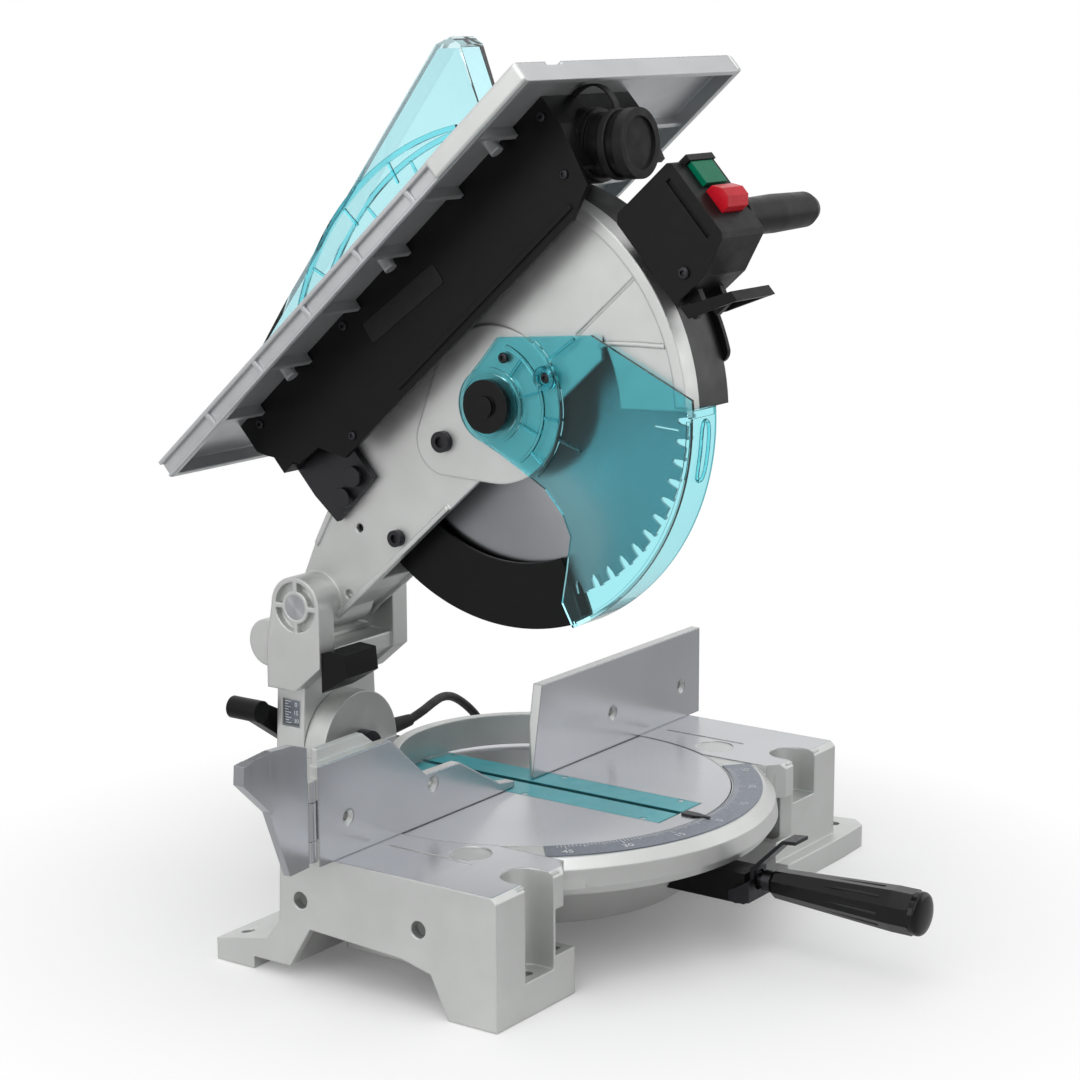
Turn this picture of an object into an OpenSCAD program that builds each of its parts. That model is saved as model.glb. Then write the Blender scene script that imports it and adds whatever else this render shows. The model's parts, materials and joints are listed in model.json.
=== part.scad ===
// Table-top mitre saw: tilting head with a saw table above it.
// Millimetres, +Z up, +X to the operator's right, +Y to the rear.
// The origin lies on the bench under the turntable's axis.

/* [View] */
// Node to draw, or all of them

/* [Blade] */
// Blade diameter
blade_d = 305; // [280:1:310]
// Blade plate thickness
blade_t = 2.2; // [1.6:0.1:2.6]
// Width of a carbide tip
tip_w = 2.9; // [2.6:0.1:3.4]
// Blade bore
bore_d = 30; // [20:1:35]
// Number of teeth
teeth = 60; // [40:1:72]
// Flange diameter
flange_d = 62; // [50:1:70]

/* [Base] */
// Height of the work surface above the bench
table_h = 95; // [85:1:105]
// Half width of the base casting
base_half = 231; // [220:1:245]
// Distance of the base's front from the turntable axis
base_front = 139; // [130:1:150]
// Distance of the wings' rear face from the axis
wing_rear = 50; // [44:1:60]
// Reach of the rear feet behind the axis
foot_reach = 112; // [100:1:125]
// Width of each wing
wing_w = 92; // [84:1:100]
// Casting wall thickness
cast_wall = 7; // [5:0.5:9]
// Outer radius of the scale ring's top
ring_r = 181; // [176:1:190]
// Bench bolt hole diameter
bolt_hole_d = 10; // [8:0.5:12]
// Work holder rod hole diameter
rod_hole_d = 12.6; // [10:0.1:14]
// Spacing of the two rod holes
rod_pitch = 105; // [90:1:115]

/* [Turntable] */
// Turntable radius
turn_r = 155; // [150:1:158]
// Thickness of the turntable's plate
turn_t = 8; // [6:0.5:10]
// Radius of the drum's bottom
drum_r = 126; // [110:1:135]
// Height of the drum's bottom above the bench
drum_z = 26; // [24:1:34]
// Width of one kerf board
board_w = 26; // [20:1:30]
// Thickness of a kerf board
board_t = 4; // [3:0.5:5]
// Opening between the kerf boards
kerf_gap = 6; // [5:0.5:8]
// Radius of the bevel trunnion
trunnion_r = 46; // [42:1:50]

/* [Fence] */
// Half length of the guide fence
fence_half = 247; // [240:1:255]
// Height of the fence above the table
fence_h = 72; // [66:1:76]
// Thickness of the fence face
fence_t = 8; // [6:0.5:9]
// Radius of the bridge behind the turntable's centre
bridge_r = 98; // [90:1:104]
// Height of the bridge
bridge_h = 24; // [18:1:28]
// Length of the hinged leaf
leaf_len = 70; // [60:1:80]
// Height of the leaf's top above the table
leaf_h = 94; // [85:1:95]

/* [Head] */
// Distance of the head's hinge behind the fence
pivot_y = 183; // [178:1:190]
// Height of the head's hinge
pivot_z = 218; // [210:1:226]
// Angle that the head is raised in the photograph
swing = 42; // [38:1:44]
// Distance from the hinge to the blade axis, forward
blade_reach = 244.5; // [240:0.5:248]
// Height of the blade axis over the hinge with the head down
blade_rise = 10; // [6:0.5:12]
// Blade case wall thickness
case_wall = 4; // [3:0.5:5]
// Outer width of the blade case
case_w = 54; // [50:1:58]
// Radial gap from the teeth to the inside of the case
case_gap = 10.5; // [8:0.5:12]
// Hinge pin diameter
pin_d = 20; // [16:0.5:22]
// Distance between the hinge ears
ear_gap = 74; // [70:1:80]
// Thickness of one ear
ear_t = 18; // [14:1:20]

/* [Motor] */
// Motor housing diameter
motor_d = 94; // [88:1:110]
// Length of the motor housing
motor_len = 70; // [64:1:115]
// Motor housing wall
motor_wall = 3.5; // [2.5:0.5:5]
// Distance of the motor axis in front of the blade axis
motor_dy = 40; // [38:0.5:58]
// Distance of the motor axis below the blade axis
motor_dz = -12; // [-16:0.5:18]
// Width of the gear housing
gear_w = 45; // [42:1:52]

/* [Guards] */
// Clearance from the case to the lower guard's rim
guard_gap = 7; // [6:0.5:9]
// Wall of the clear guards
guard_t = 3; // [2:0.5:4]
// Reach of the rear guard past the case
rear_gap = 5; // [3:0.5:7]
// Outer width of the rear guard
rear_w = 18; // [16:0.5:20]

/* [Saw table] */
// Length of the saw table
table_len = 456; // [440:1:470]
// Width of the saw table
table_w = 274; // [264:1:280]
// Height of the saw table's top over the hinge, head down
table_z = 142; // [138:0.5:146]
// Plate thickness of the saw table
table_t = 5; // [4:0.5:7]
// Depth of the saw table's rim
rim_h = 16; // [12:0.5:16]
// Outer diameter of the dust nozzle
nozzle_d = 46; // [40:1:50]
// Thickness of the riving knife
knife_t = 2.4; // [2:0.1:2.8]

/* [Handles] */
// Handle diameter
handle_d = 28; // [24:1:32]
// Handle length
handle_len = 110; // [95:1:120]
// Width of the switch box
box_w = 55; // [48:1:60]
// Grip diameter at its outer end
grip_d = 33; // [28:1:36]
// Grip length
grip_len = 118; // [105:1:130]

/* [Cord] */
// Cord diameter
cord_d = 7.5; // [6.5:0.1:7.6]
// Sleeve length of the cord gland
sleeve_len = 28; // [22:1:40]

/* [Hidden] */
$fn = 48;
// Clearance between bodies
clr = 0.4;
// Running clearance of a shaft in its hole, on the radius
run = 0.05;
blade_r = blade_d / 2;
turn_z = table_h - clr;
by = -blade_reach;
bz = blade_rise;
my = by - motor_dy;
mz = bz - motor_dz;
case_r = blade_r + case_gap + case_wall;
guard_r = case_r + guard_gap;
rear_r = case_r + rear_gap;
case_x = case_w / 2;
gear_x = case_x + gear_w;
motor_x = gear_x + motor_len;
motor_r = motor_d / 2;
pin_r = pin_d / 2;
ear_x = ear_gap / 2;
ear_r = pin_r + 14;
bevel_y = pivot_y + 1.5;
guard_x = -case_x - guard_t - 3;
hub_x = -case_x - 9;
box_y = by - guard_r - 7;
rim_z = table_z - rim_h;
table_x = -112;
table_y = -16;
under_z = table_z - table_t;
wing_x = base_half - wing_w;
ring_in = turn_r + 0.8;
ring_z = table_h - 0.8;
ledge_z = turn_z - turn_t - clr;
// The scale ends where the wings begin.
scale_a = asin((wing_x - 1) / (ring_r - 2));
fence_rear = 26;
leaf_x = -fence_half - 5.4;
leaf_y = 4;
grip_z = 57;
rod_r = 5;
grip_y = -218;
bracket_x = 12;
knife_y = by + 134;
knife_z = 182;
cord_r = cord_d / 2;
sleeve_y = bevel_y - 8.5;
sleeve_z = 98;
gear_r = 33;
pinion_r = sqrt(motor_dy * motor_dy + motor_dz * motor_dz) - gear_r - 0.7;

// Extrudes an outline of (y, z) points from x0 to x1.
module side(x0, x1)
    translate([x0, 0, 0])
        rotate([90, 0, 90])
            linear_extrude(x1 - x0)
                children();

// Extrudes an outline of (x, z) points from y0 to y1.
module front(y0, y1)
    translate([0, y1, 0])
        rotate([90, 0, 0])
            linear_extrude(y1 - y0)
                children();

// Cylinder along X at (y, z).
module rod_x(x0, x1, y, z, r)
    translate([x0, y, z])
        rotate([0, 90, 0])
            cylinder(h = x1 - x0, r = r);

// Cylinder along Y at (x, z).
module rod_y(y0, y1, x, z, r)
    translate([x, y0, z])
        rotate([-90, 0, 0])
            cylinder(h = y1 - y0, r = r);

// Puts a piece that is drawn with the head down at the raised head.
module head()
    translate([0, pivot_y, pivot_z])
        rotate([-swing, 0, 0])
            children();

// Flat ring sector about the blade axis, angles from +Y towards +Z.
module sector(r0, r1, a0, a1)
    translate([by, bz])
        difference() {
            intersection() {
                circle(r1, $fn = 120);
                polygon(concat([[0, 0]], [for (i = [0:8])
                    let (a = a0 + (a1 - a0) * i / 8) 3 * r1 * [cos(a), sin(a)]]));
            }
            circle(r0, $fn = 96);
        }

// Two cylinders with the web that is tangent to both, as an outline.
module link2d(p, rp, q, rq) {
    d = norm(q - p);
    u = (q - p) / d;
    n = [-u[1], u[0]];
    c = (rp - rq) / d;
    s = sqrt(1 - c * c);
    translate(p) circle(rp, $fn = 96);
    translate(q) circle(rq, $fn = 96);
    polygon([p + rp * (c * u + s * n), q + rq * (c * u + s * n),
        q + rq * (c * u - s * n), p + rp * (c * u - s * n)]);
}

// Rectangle with rounded corners, centred.
module round2d(w, h, r) {
    square([w - 2 * r, h], center = true);
    square([w, h - 2 * r], center = true);
    for (sx = [-1, 1], sy = [-1, 1])
        translate([sx * (w / 2 - r), sy * (h / 2 - r)]) circle(r, $fn = 24);
}

// Closed tube of n sides along a path.
function unit(v) = v / norm(v);
function tangent(p, i) = unit(p[min(i + 1, len(p) - 1)] - p[max(i - 1, 0)]);
module tube(p, r, n) {
    m = len(p);
    pts = [for (i = [0:m - 1]) let (t = tangent(p, i), s = unit(cross(t, [0, 0, 1])), u = cross(s, t))
        for (j = [0:n - 1]) p[i] + r * (cos(360 * j / n) * s + sin(360 * j / n) * u)];
    walls = [for (i = [0:m - 2]) for (j = [0:n - 1]) let (k = (j + 1) % n)
        each [[i * n + j, i * n + k, i * n + n + k], [i * n + j, i * n + n + k, i * n + n + j]]];
    ends = [for (j = [1:n - 2]) each [[0, j + 1, j], [m * n - n, m * n - n + j, m * n - n + j + 1]]];
    polyhedron(points = pts, faces = concat(walls, ends), convexity = 8);
}

// One wing of the base, drawn for the left side.
module wing() {
    // End profile: front leg, arch, rear body and rear foot.
    difference() {
        side(-base_half, -wing_x)
            polygon([[-base_front, 0], [-base_front, table_h - 4], [-base_front + 4, table_h],
                [wing_rear - 4, table_h], [wing_rear, table_h - 4], [wing_rear + 2, 40],
                [wing_rear + 14, 26], [foot_reach, 16], [foot_reach, 0], [foot_reach - 31, 0],
                [foot_reach - 35, 9], [43, 9], [24, 40], [-57, 36], [-83, 30], [-98, 0]]);
        // Casting is hollow from below.
        side(-base_half + cast_wall, -wing_x - cast_wall)
            polygon([[-base_front + cast_wall, -1], [-base_front + cast_wall, table_h - cast_wall],
                [wing_rear - cast_wall, table_h - cast_wall], [wing_rear - cast_wall, -1]]);
    }
}

module base_casting() color("silver") {
    difference() {
        union() {
            wing();
            mirror([1, 0, 0]) wing();
            // Scale ring, open at the rear where the turntable's arm comes out.
            difference() {
                rotate_extrude($fn = 144)
                    polygon([[turn_r - 4, 68], [turn_r - 4, ledge_z], [ring_in, ledge_z],
                        [ring_in, ring_z], [ring_r, ring_z], [ring_r + 8, ring_z - 7],
                        [ring_r + 10, 75], [ring_r + 5, 68]]);
                translate([0, 0, 50])
                    linear_extrude(60)
                        polygon([[0, 0], [400 * cos(18), 400 * sin(18)], [0, 400],
                            [-400 * cos(18), 400 * sin(18)]]);
            }
            // Beam under the drum with the turntable's pivot boss.
            translate([-wing_x - 1, -32, 10])
                cube([2 * wing_x + 2, 64, 11]);
            for (s = [-1, 1])
                translate([s * (wing_x + 20) - 22, -32, 10])
                    cube([44, 64, table_h - cast_wall - 9]);
            cylinder(h = drum_z - clr, r = 26);
            // Right front foot that reaches outwards.
            translate([base_half - 2, -150, 0])
                linear_extrude(18)
                    polygon([[0, 0], [34, 2], [44, 14], [40, 34], [0, 52]]);
            translate([wing_x, -150, 0]) cube([wing_w, 14, 18]);
            // Walls of the vice channels.
            for (sx = [-1, 1])
                translate([sx * (base_half - 50) - 25, -base_front + 1, 16])
                    cube([50, 42, table_h - 17]);
            // Ledges for the bench bolts.
            translate([-base_half + 2, -base_front + 2, 16]) cube([wing_w - 4, 40, 9]);
            for (s = [-1, 1])
                translate([s * (base_half - 16) - 16, wing_rear, 0])
                    difference() {
                        cube([32, foot_reach - wing_rear, 14]);
                        translate([-1, -1, -1]) cube([34, foot_reach - wing_rear - 34, 10]);
                    }
        }
        // Turntable well above the ring's ledge and drum space below it.
        translate([0, 0, ledge_z]) cylinder(h = 40, r = ring_in, $fn = 144);
        rotate_extrude($fn = 144)
            polygon([[0, drum_z - clr], [drum_r + 1.5, drum_z - clr], [turn_r - 4, 64],
                [turn_r - 4, ledge_z + 1], [0, ledge_z + 1]]);
        // Room at full mitre for the grip's bracket and, above it, the lock lever.
        for (a = [-45, 45])
            rotate([0, 0, a]) {
                translate([-bracket_x - 4.4, -240, 34]) cube([2 * bracket_x + 8.8, 100, 33.8]);
                translate([-9.6, -250, 60]) cube([19.2, 60, 60]);
            }
        // Vice channels down the front of both wings.
        for (s = [-1, 1])
            translate([s * (base_half - 50), -base_front + 12, s < 0 ? 25 : 60])
                linear_extrude(80) {
                    circle(17);
                    translate([-17, -40]) square([34, 40]);
                }
        // Bench bolt holes.
        for (p = [[-base_half + 50, -base_front + 12], [base_half + 22, -base_front + 12],
                [-base_half + 16, foot_reach - 16], [base_half - 16, foot_reach - 16]])
            translate([p[0], p[1], -1]) cylinder(h = 70, r = bolt_hole_d / 2);
        // Work holder rod holes in both end faces.
        for (s = [-1, 1], y = [32, 32 - rod_pitch])
            rod_x(s < 0 ? -base_half - 1 : base_half - 40, s < 0 ? -base_half + 40 : base_half + 1,
                y, 60, rod_hole_d / 2);
        // Bare recesses on the wings.
        for (s = [-1, 1])
            translate([s * (wing_x + 24), -67, table_h - 0.6]) cylinder(h = 2, r = 15);
        // Blind hole of the main pivot stud.
        translate([0, 0, 4]) cylinder(h = 40, r = 8);
    }
}

module mitre_scale() color("slategray")
    translate([0, 0, ring_z])
        linear_extrude(0.8)
            difference() {
                intersection() {
                    circle(ring_r - 2, $fn = 144);
                    polygon(concat([[0, 0]], [for (i = [-10:10]) 300 * [sin(scale_a * i / 10), -cos(scale_a * i / 10)]]));
                }
                circle(ring_in + 1, $fn = 144);
            }

module guide_fence() color("lightgray") {
    h = table_h + fence_h;
    difference() {
        union() {
            // Left face, cut low for tilted cuts.
            front(0, fence_t)
                polygon([[-fence_half, table_h], [-fence_half, h], [-167, h], [-127, table_h + 37],
                    [-86, table_h + 36], [-37, table_h + 8], [-18, table_h + 5], [-18, table_h]]);
            // Right face with the slanted inner end.
            front(0, fence_t)
                polygon([[5.5, table_h], [19, h], [fence_half, h], [fence_half, table_h]]);
            // Raised rear plate on the left.
            front(fence_t, fence_t + 5)
                polygon([[-238, table_h], [-238, h + 9], [-189, h + 9], [-152, h - 19], [-152, table_h]]);
            // Feet on the wings.
            for (s = [-1, 1])
                translate([s < 0 ? -fence_half : bridge_r, fence_t, table_h])
                    cube([fence_half - bridge_r - (s < 0 ? 0 : 21), fence_rear, 9]);
            // Ribs between face and feet.
            for (x = [-203, -164, 110, 150, 190, 222])
                side(x - 2.5, x + 2.5)
                    polygon([[fence_t, table_h], [fence_t, h - 22], [fence_t + fence_rear, table_h + 9],
                        [fence_t + fence_rear, table_h]]);
            // Bridge round the rear of the turntable.
            translate([0, 0, table_h + 2])
                linear_extrude(bridge_h)
                    difference() {
                        intersection() {
                            circle(bridge_r + 8, $fn = 120);
                            translate([-200, 12]) square([400, 200]);
                        }
                        circle(bridge_r, $fn = 120);
                    }
            // Knuckles of the leaf's hinge.
            for (z = [table_h + 5, table_h + 48])
                translate([leaf_x, leaf_y, z]) cylinder(h = 15, r = 5);
            for (z = [table_h + 5, table_h + 48])
                translate([leaf_x, leaf_y - 3, z]) cube([7, 6, 15]);
            translate([leaf_x, leaf_y, table_h + 5]) cylinder(h = 58, r = 2.5);
        }
        // Room for the blade at full mitre.
        translate([5.5, 0, table_h - 1]) rotate([0, 0, 45]) translate([-30, 0, 0]) cube([60, 14, 20 + fence_h]);
        // Screw holes in the face.
        for (x = [-215, -118, 117, 219])
            rod_y(-1, fence_t + 6, x, table_h + 28, 3);
        for (x = [-215, -118, 117, 219])
            translate([x, -0.01, table_h + 28])
                rotate([-90, 0, 0])
                    cylinder(h = 3, r1 = 6, r2 = 3);
        // Holes for the fence bolts.
        for (x = [-222, -182, 170, 210])
            translate([x, fence_t + 15, table_h - 1]) cylinder(h = 20, r = 4.2);
    }
}

module fence_bolts() color("dimgray")
    for (x = [-222, -182, 170, 210])
        translate([x, fence_t + 15, 0]) {
            translate([0, 0, table_h]) cylinder(h = 9, r = 4);
            translate([0, 0, table_h + 9]) cylinder(h = 6, r = 6.5, $fn = 6);
        }

module mitre_pivot_bolt() color("dimgray") {
    translate([0, 0, 4]) cylinder(h = 52, r = 8);
    translate([0, 0, 56]) cylinder(h = 8, r = 13, $fn = 6);
}

module fence_leaf() color("gainsboro") {
    x1 = leaf_x - 5.6;
    x0 = x1 - leaf_len + 2;
    h = table_h + leaf_h;
    difference() {
        union() {
            front(0, 6)
                polygon([[x1, table_h + 3], [x1, h - 6], [x1 - 15, h - 1], [x1 - 36, h],
                    [x0 + 1, h - 3], [x0, h - 16], [x0 + 28, table_h + 52], [x1 - 20, table_h + 2]]);
            // Rolled edge at the outer end.
            front(-3, 6)
                polygon([[x0 + 1, h - 3], [x0, h - 16], [x0 + 28, table_h + 52], [x0 + 34, table_h + 58],
                    [x0 + 8, h - 14], [x0 + 9, h - 2]]);
            translate([leaf_x, leaf_y, table_h + 20.4]) cylinder(h = 27.2, r = 5);
            translate([x1 - 4, leaf_y - 3, table_h + 20.4]) cube([9, 5, 27.2]);
        }
        translate([leaf_x, leaf_y, table_h]) cylinder(h = 90, r = 2.5 + run);
    }
}

module turntable() color("lightgray") {
    difference() {
        union() {
            // Plate and drum.
            rotate_extrude($fn = 144)
                polygon([[0, turn_z - turn_t], [turn_r - 12, turn_z - turn_t], [turn_r - 12, 62],
                    [drum_r - 8, drum_z + 6], [0, drum_z + 6], [0, drum_z], [drum_r, drum_z],
                    [turn_r - 6, 64], [turn_r - 6, turn_z - turn_t], [turn_r, turn_z - turn_t],
                    [turn_r, turn_z], [0, turn_z]]);
            // Hub round the pivot and ribs under the plate.
            translate([0, 0, drum_z]) cylinder(h = 30, r = 24);
            for (a = [30:60:330])
                rotate([0, 0, a])
                    translate([20, -3, drum_z + 2]) cube([drum_r - 24, 6, 28]);
            // Trough under the kerf boards.
            translate([-36, -142, turn_z - 32]) cube([72, 262, 32]);
            // Arm to the rear that carries the bevel trunnion.
            translate([-trunnion_r, 90, 44])
                cube([2 * trunnion_r, bevel_y - 90, turn_z - 44 - 8]);
            translate([-trunnion_r, 140, 44])
                cube([2 * trunnion_r, bevel_y - 140, turn_z - 44]);
            front(bevel_y - 20, bevel_y)
                intersection() {
                    translate([0, table_h]) circle(trunnion_r, $fn = 120);
                    translate([-100, 60]) square([200, 200]);
                }
        }
        // Seats of the kerf boards and the slot for the blade.
        translate([-board_w - kerf_gap / 2 - 0.3, -138, turn_z - board_t])
            cube([2 * board_w + kerf_gap + 0.6, 246, board_t + 1]);
        translate([-16, -136, turn_z - 24]) cube([42, 230, 30]);
        // Bevel bolt and pivot bolt.
        rod_y(100, bevel_y + 1, 0, table_h, 9);
        translate([0, 0, drum_z - 1]) cylinder(h = 30, r = 8 + run);
        translate([0, 0, 52]) cylinder(h = 18, r = 18);
        // Pocket in front of the trunnion.
        translate([-30, 110, 62]) cube([60, bevel_y - 20 - 110, 60]);
        rod_x(trunnion_r - 3, trunnion_r + 9, sleeve_y, sleeve_z, 8);
    }
}

// Kerf board with its slanted inner edge, s = -1 for left and 1 for right.
module board(s)
    translate([0, 107, 0])
        rotate([90, 0, 0])
            linear_extrude(244)
                polygon(s < 0
                    ? [[-board_w - kerf_gap / 2, turn_z - board_t], [-board_w - kerf_gap / 2, turn_z],
                        [-kerf_gap / 2, turn_z], [-kerf_gap / 2, turn_z - board_t]]
                    : [[board_w + kerf_gap / 2, turn_z - board_t], [board_w + kerf_gap / 2, turn_z],
                        [kerf_gap / 2, turn_z], [kerf_gap / 2 + board_t, turn_z - board_t]]);

module screw_spots()
    for (s = [-1, 1], y = [-122, -16, 90])
        translate([s < 0 ? -board_w : board_w, y, turn_z - board_t])
            children();

module kerf_board_left() color("teal")
    difference() {
        board(-1);
        screw_spots() cylinder(h = 9, r = 2.7);
    }

module kerf_board_right() color("teal")
    difference() {
        board(1);
        screw_spots() cylinder(h = 9, r = 2.7);
    }

module kerf_screws() color("gray")
    screw_spots() cylinder(h = board_t - 0.3, r = 2.5);

module mitre_pointer() color("firebrick") {
    translate([-4, -turn_r + 4, turn_z]) cube([8, 10, 1.6]);
    translate([0, -turn_r + 4.5, turn_z + 0.9])
        linear_extrude(0.7)
            polygon([[-4, 0.5], [4, 0.5], [0.8, -13], [-0.8, -13]]);
}

module grip_bracket() color("black")
    difference() {
        intersection() {
            translate([-bracket_x, -200, 40]) cube([2 * bracket_x, 70, 23]);
            difference() {
                cylinder(h = 100, r = 240);
                rotate_extrude($fn = 144)
                    polygon([[0, 0], [drum_r, drum_z], [turn_r - 6, 64], [0, 64]]);
            }
        }
        translate([-bracket_x + 4.5, -188, 37]) cube([2 * bracket_x - 9, 32, 12]);
        rod_y(-205, -120, 0, grip_z, rod_r + run);
        rod_x(-30, 30, -193, 46, 3 + run);
    }

module grip_rod() color("dimgray") {
    rod_y(grip_y, -turn_r + 4, 0, grip_z, rod_r);
    rod_y(grip_y, grip_y + 7, 0, grip_z, 8);
}

module grip() color("black") {
    // Eight-sided taper with flutes and a round end.
    difference() {
        translate([0, grip_y, grip_z])
            rotate([90, 22.5, 0])
                rotate_extrude($fn = 8)
                    polygon([[0, 0], [9, 0], [11, 3], [grip_d / 2, grip_len - 20],
                        [grip_d / 2, grip_len - 4], [0, grip_len - 4]]);
        for (a = [0:45:315])
            translate([0, grip_y, grip_z])
                rotate([0, a, 0])
                    translate([0, -12, 10])
                        rotate([90 - 2, 0, 0])
                            translate([0, 3.4, 0]) cylinder(h = grip_len - 40, r = 2.2, $fn = 16);
    }
    rod_y(grip_y - grip_len, grip_y - grip_len + 4, 0, grip_z, grip_d / 2 - 0.8);
}

module lock_lever() color("black") {
    w = bracket_x + clr;
    difference() {
        union() {
            side(-9, 9)
                polygon([[-203, 43], [-206, 43], [-206, 66], [-230, 90], [-240, 91], [-240, 93.6],
                    [-229, 92.6], [-203, 67]]);
            for (x = [-w - 3.2, w])
                side(x, x + 3.2)
                    polygon([[-189, 42], [-189, 50], [-197, 54], [-206, 60], [-206, 43], [-195, 41]]);
            side(-w - 3.2, w + 3.2) polygon([[-203, 43], [-206, 43], [-206, 60], [-203, 58]]);
        }
        rod_y(-215, -195, 0, grip_z, rod_r + 2.6);
    }
    rod_x(-w - 3.2, w + 3.2, -193, 46, 3);
}

module bevel_bolt() color("dimgray") {
    rod_y(bevel_y - 28, bevel_y + 54, 0, table_h, 9);
    rod_y(bevel_y - 30, bevel_y - 20, 0, table_h, 15);
}

module bevel_arm() color("silver") {
    y0 = bevel_y + clr;
    y1 = y0 + 28;
    difference() {
        union() {
            // Disc that turns on the trunnion and the column above it.
            front(y0, y1) {
                translate([0, table_h]) circle(trunnion_r, $fn = 120);
                polygon([[-trunnion_r, table_h], [-ear_x - 6, 150], [-ear_x - ear_t, 172],
                    [-ear_x - ear_t, 188], [ear_x + ear_t, 188], [ear_x + ear_t, 172],
                    [ear_x + 6, 150], [trunnion_r, table_h]]);
            }
            // Ears for the hinge pin.
            for (s = [-1, 1])
                side(s < 0 ? -ear_x - ear_t : ear_x, s < 0 ? -ear_x : ear_x + ear_t) {
                    translate([pivot_y, pivot_z]) circle(ear_r, $fn = 96);
                    polygon([[pivot_y - ear_r, pivot_z], [pivot_y + ear_r, pivot_z],
                        [y1, 186], [y1, 150], [y0, 150], [pivot_y - ear_r, 172]]);
                }
            // Web between the ears.
            side(-ear_x - 1, ear_x + 1)
                polygon([[pivot_y - ear_r + 2, 172], [y0 + 4, 152], [y1, 152], [y1, 186], [pivot_y - ear_r + 2, 184]]);
            // Round barrel across the back.
            rod_x(-ear_x - ear_t + 6, ear_x + ear_t - 6, y1 + 4, 184, 19);
        }
        rod_x(-100, 100, pivot_y, pivot_z, pin_r);
        rod_y(y0 - 1, y1 + 1, 0, table_h, 9 + run);
        // Room for the head's barrel.
        rod_x(-ear_x, ear_x, pivot_y, pivot_z, ear_r + 3);
        // Ribbed pockets in the ears' outer faces.
        for (s = [-1, 1])
            side(s < 0 ? -ear_x - ear_t - 1 : ear_x + ear_t - 6, s < 0 ? -ear_x - ear_t + 6 : ear_x + ear_t + 1)
                difference() {
                    translate([pivot_y, pivot_z]) circle(ear_r - 4);
                    translate([pivot_y, pivot_z]) circle(pin_r + 3);
                    translate([pivot_y - 2, pivot_z - 40]) square([4, 80]);
                    translate([pivot_y - 40, pivot_z - 2]) square([80, 4]);
                }
        // Window for the bevel scale.
        side(-80, -ear_x - 4) polygon([[y0 + 5, 117], [y0 + 5, 139], [y0 + 23, 139], [y0 + 23, 117]]);
        // Stop pin hole.
        rod_x(16, ear_x + ear_t + 1, pivot_y + 21, 194, 4 + run);
    }
}

module pivot_pin() color("gray") {
    rod_x(-ear_x - ear_t, ear_x + ear_t, pivot_y, pivot_z, pin_r);
    rod_x(ear_x + ear_t, ear_x + ear_t + 5, pivot_y, pivot_z, pin_r + 4);
}

// Torsion spring round the hinge pin, beside the head's barrel.
spring_wire = 3;
spring_r = pin_r + 4;
spring_turns = 5;
spring_pitch = 3.8;
spring_x = ear_x - spring_turns * spring_pitch - spring_wire / 2 - 0.6;
spring_path = [for (i = [0:8 * spring_turns])
    [spring_x + spring_pitch * i / 8, pivot_y + spring_r * cos(45 * i), pivot_z + spring_r * sin(45 * i)]];
module return_spring() color("gray")
    helix_x(spring_path, spring_wire / 2, 6);

// Tube round an axis along X, with its rings square to the coil.
module helix_x(p, r, n) {
    m = len(p);
    pts = [for (i = [0:m - 1]) let (u = unit([0, p[i][1] - pivot_y, p[i][2] - pivot_z]))
        for (j = [0:n - 1]) p[i] + r * (cos(360 * j / n) * [1, 0, 0] + sin(360 * j / n) * u)];
    walls = [for (i = [0:m - 2]) for (j = [0:n - 1]) let (k = (j + 1) % n)
        each [[i * n + j, i * n + k, i * n + n + k], [i * n + j, i * n + n + k, i * n + n + j]]];
    ends = [for (j = [1:n - 2]) each [[0, j + 1, j], [m * n - n, m * n - n + j, m * n - n + j + 1]]];
    polyhedron(points = pts, faces = concat(walls, ends), convexity = 8);
}

module bump_stop() color("black") {
    yb = pivot_y - ear_r;
    side(-ear_x - ear_t + 2, -ear_x + 22)
        polygon([[yb, 152], [yb, 184], [yb - 8, 187], [yb - 24, 186], [yb - 26, 168], [yb - 10, 158]]);
}

module bevel_lever() color("black") {
    y0 = bevel_y + 28 + 2 * clr;
    difference() {
        union() {
            rod_y(y0, y0 + 22, 0, table_h, 17);
            front(y0 + 6, y0 + 18)
                link2d([0, table_h], 12, [-58, table_h + 34], 8);
            translate([-58, y0 + 4, table_h + 34]) rotate([-90, 0, 0]) cylinder(h = 30, r = 9);
        }
        rod_y(y0 - 1, y0 + 40, 0, table_h, 9 + run);
    }
}

module stop_pin() color("black") {
    rod_x(ear_x + 1, ear_x + ear_t + 14, pivot_y + 21, 194, 4);
    rod_x(ear_x + ear_t + 14, ear_x + ear_t + 24, pivot_y + 21, 194, 8);
}

// Outline of the blade case's side walls.
module case_side2d() {
    intersection() {
        translate([by, bz]) circle(case_r, $fn = 144);
        polygon([[-20, -23], [by - 97, -23], [by - 120, 2], [by - 200, 2], [by - 200, 100],
            [-20, 100]]);
    }
    // Front leg in front of the blade.
    sector(blade_r - 42, case_r, 176, 219);
    // Arm back to the hinge.
    polygon([[-4, -ear_r + 3], [-40, -23], [by + 60, -23], [by + 60, 80], [-112, 80], [-103, 58], [-72, 51],
        [-31, 36], [-2, ear_r - 1]]);
    circle(ear_r - 2, $fn = 96);
}

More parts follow.
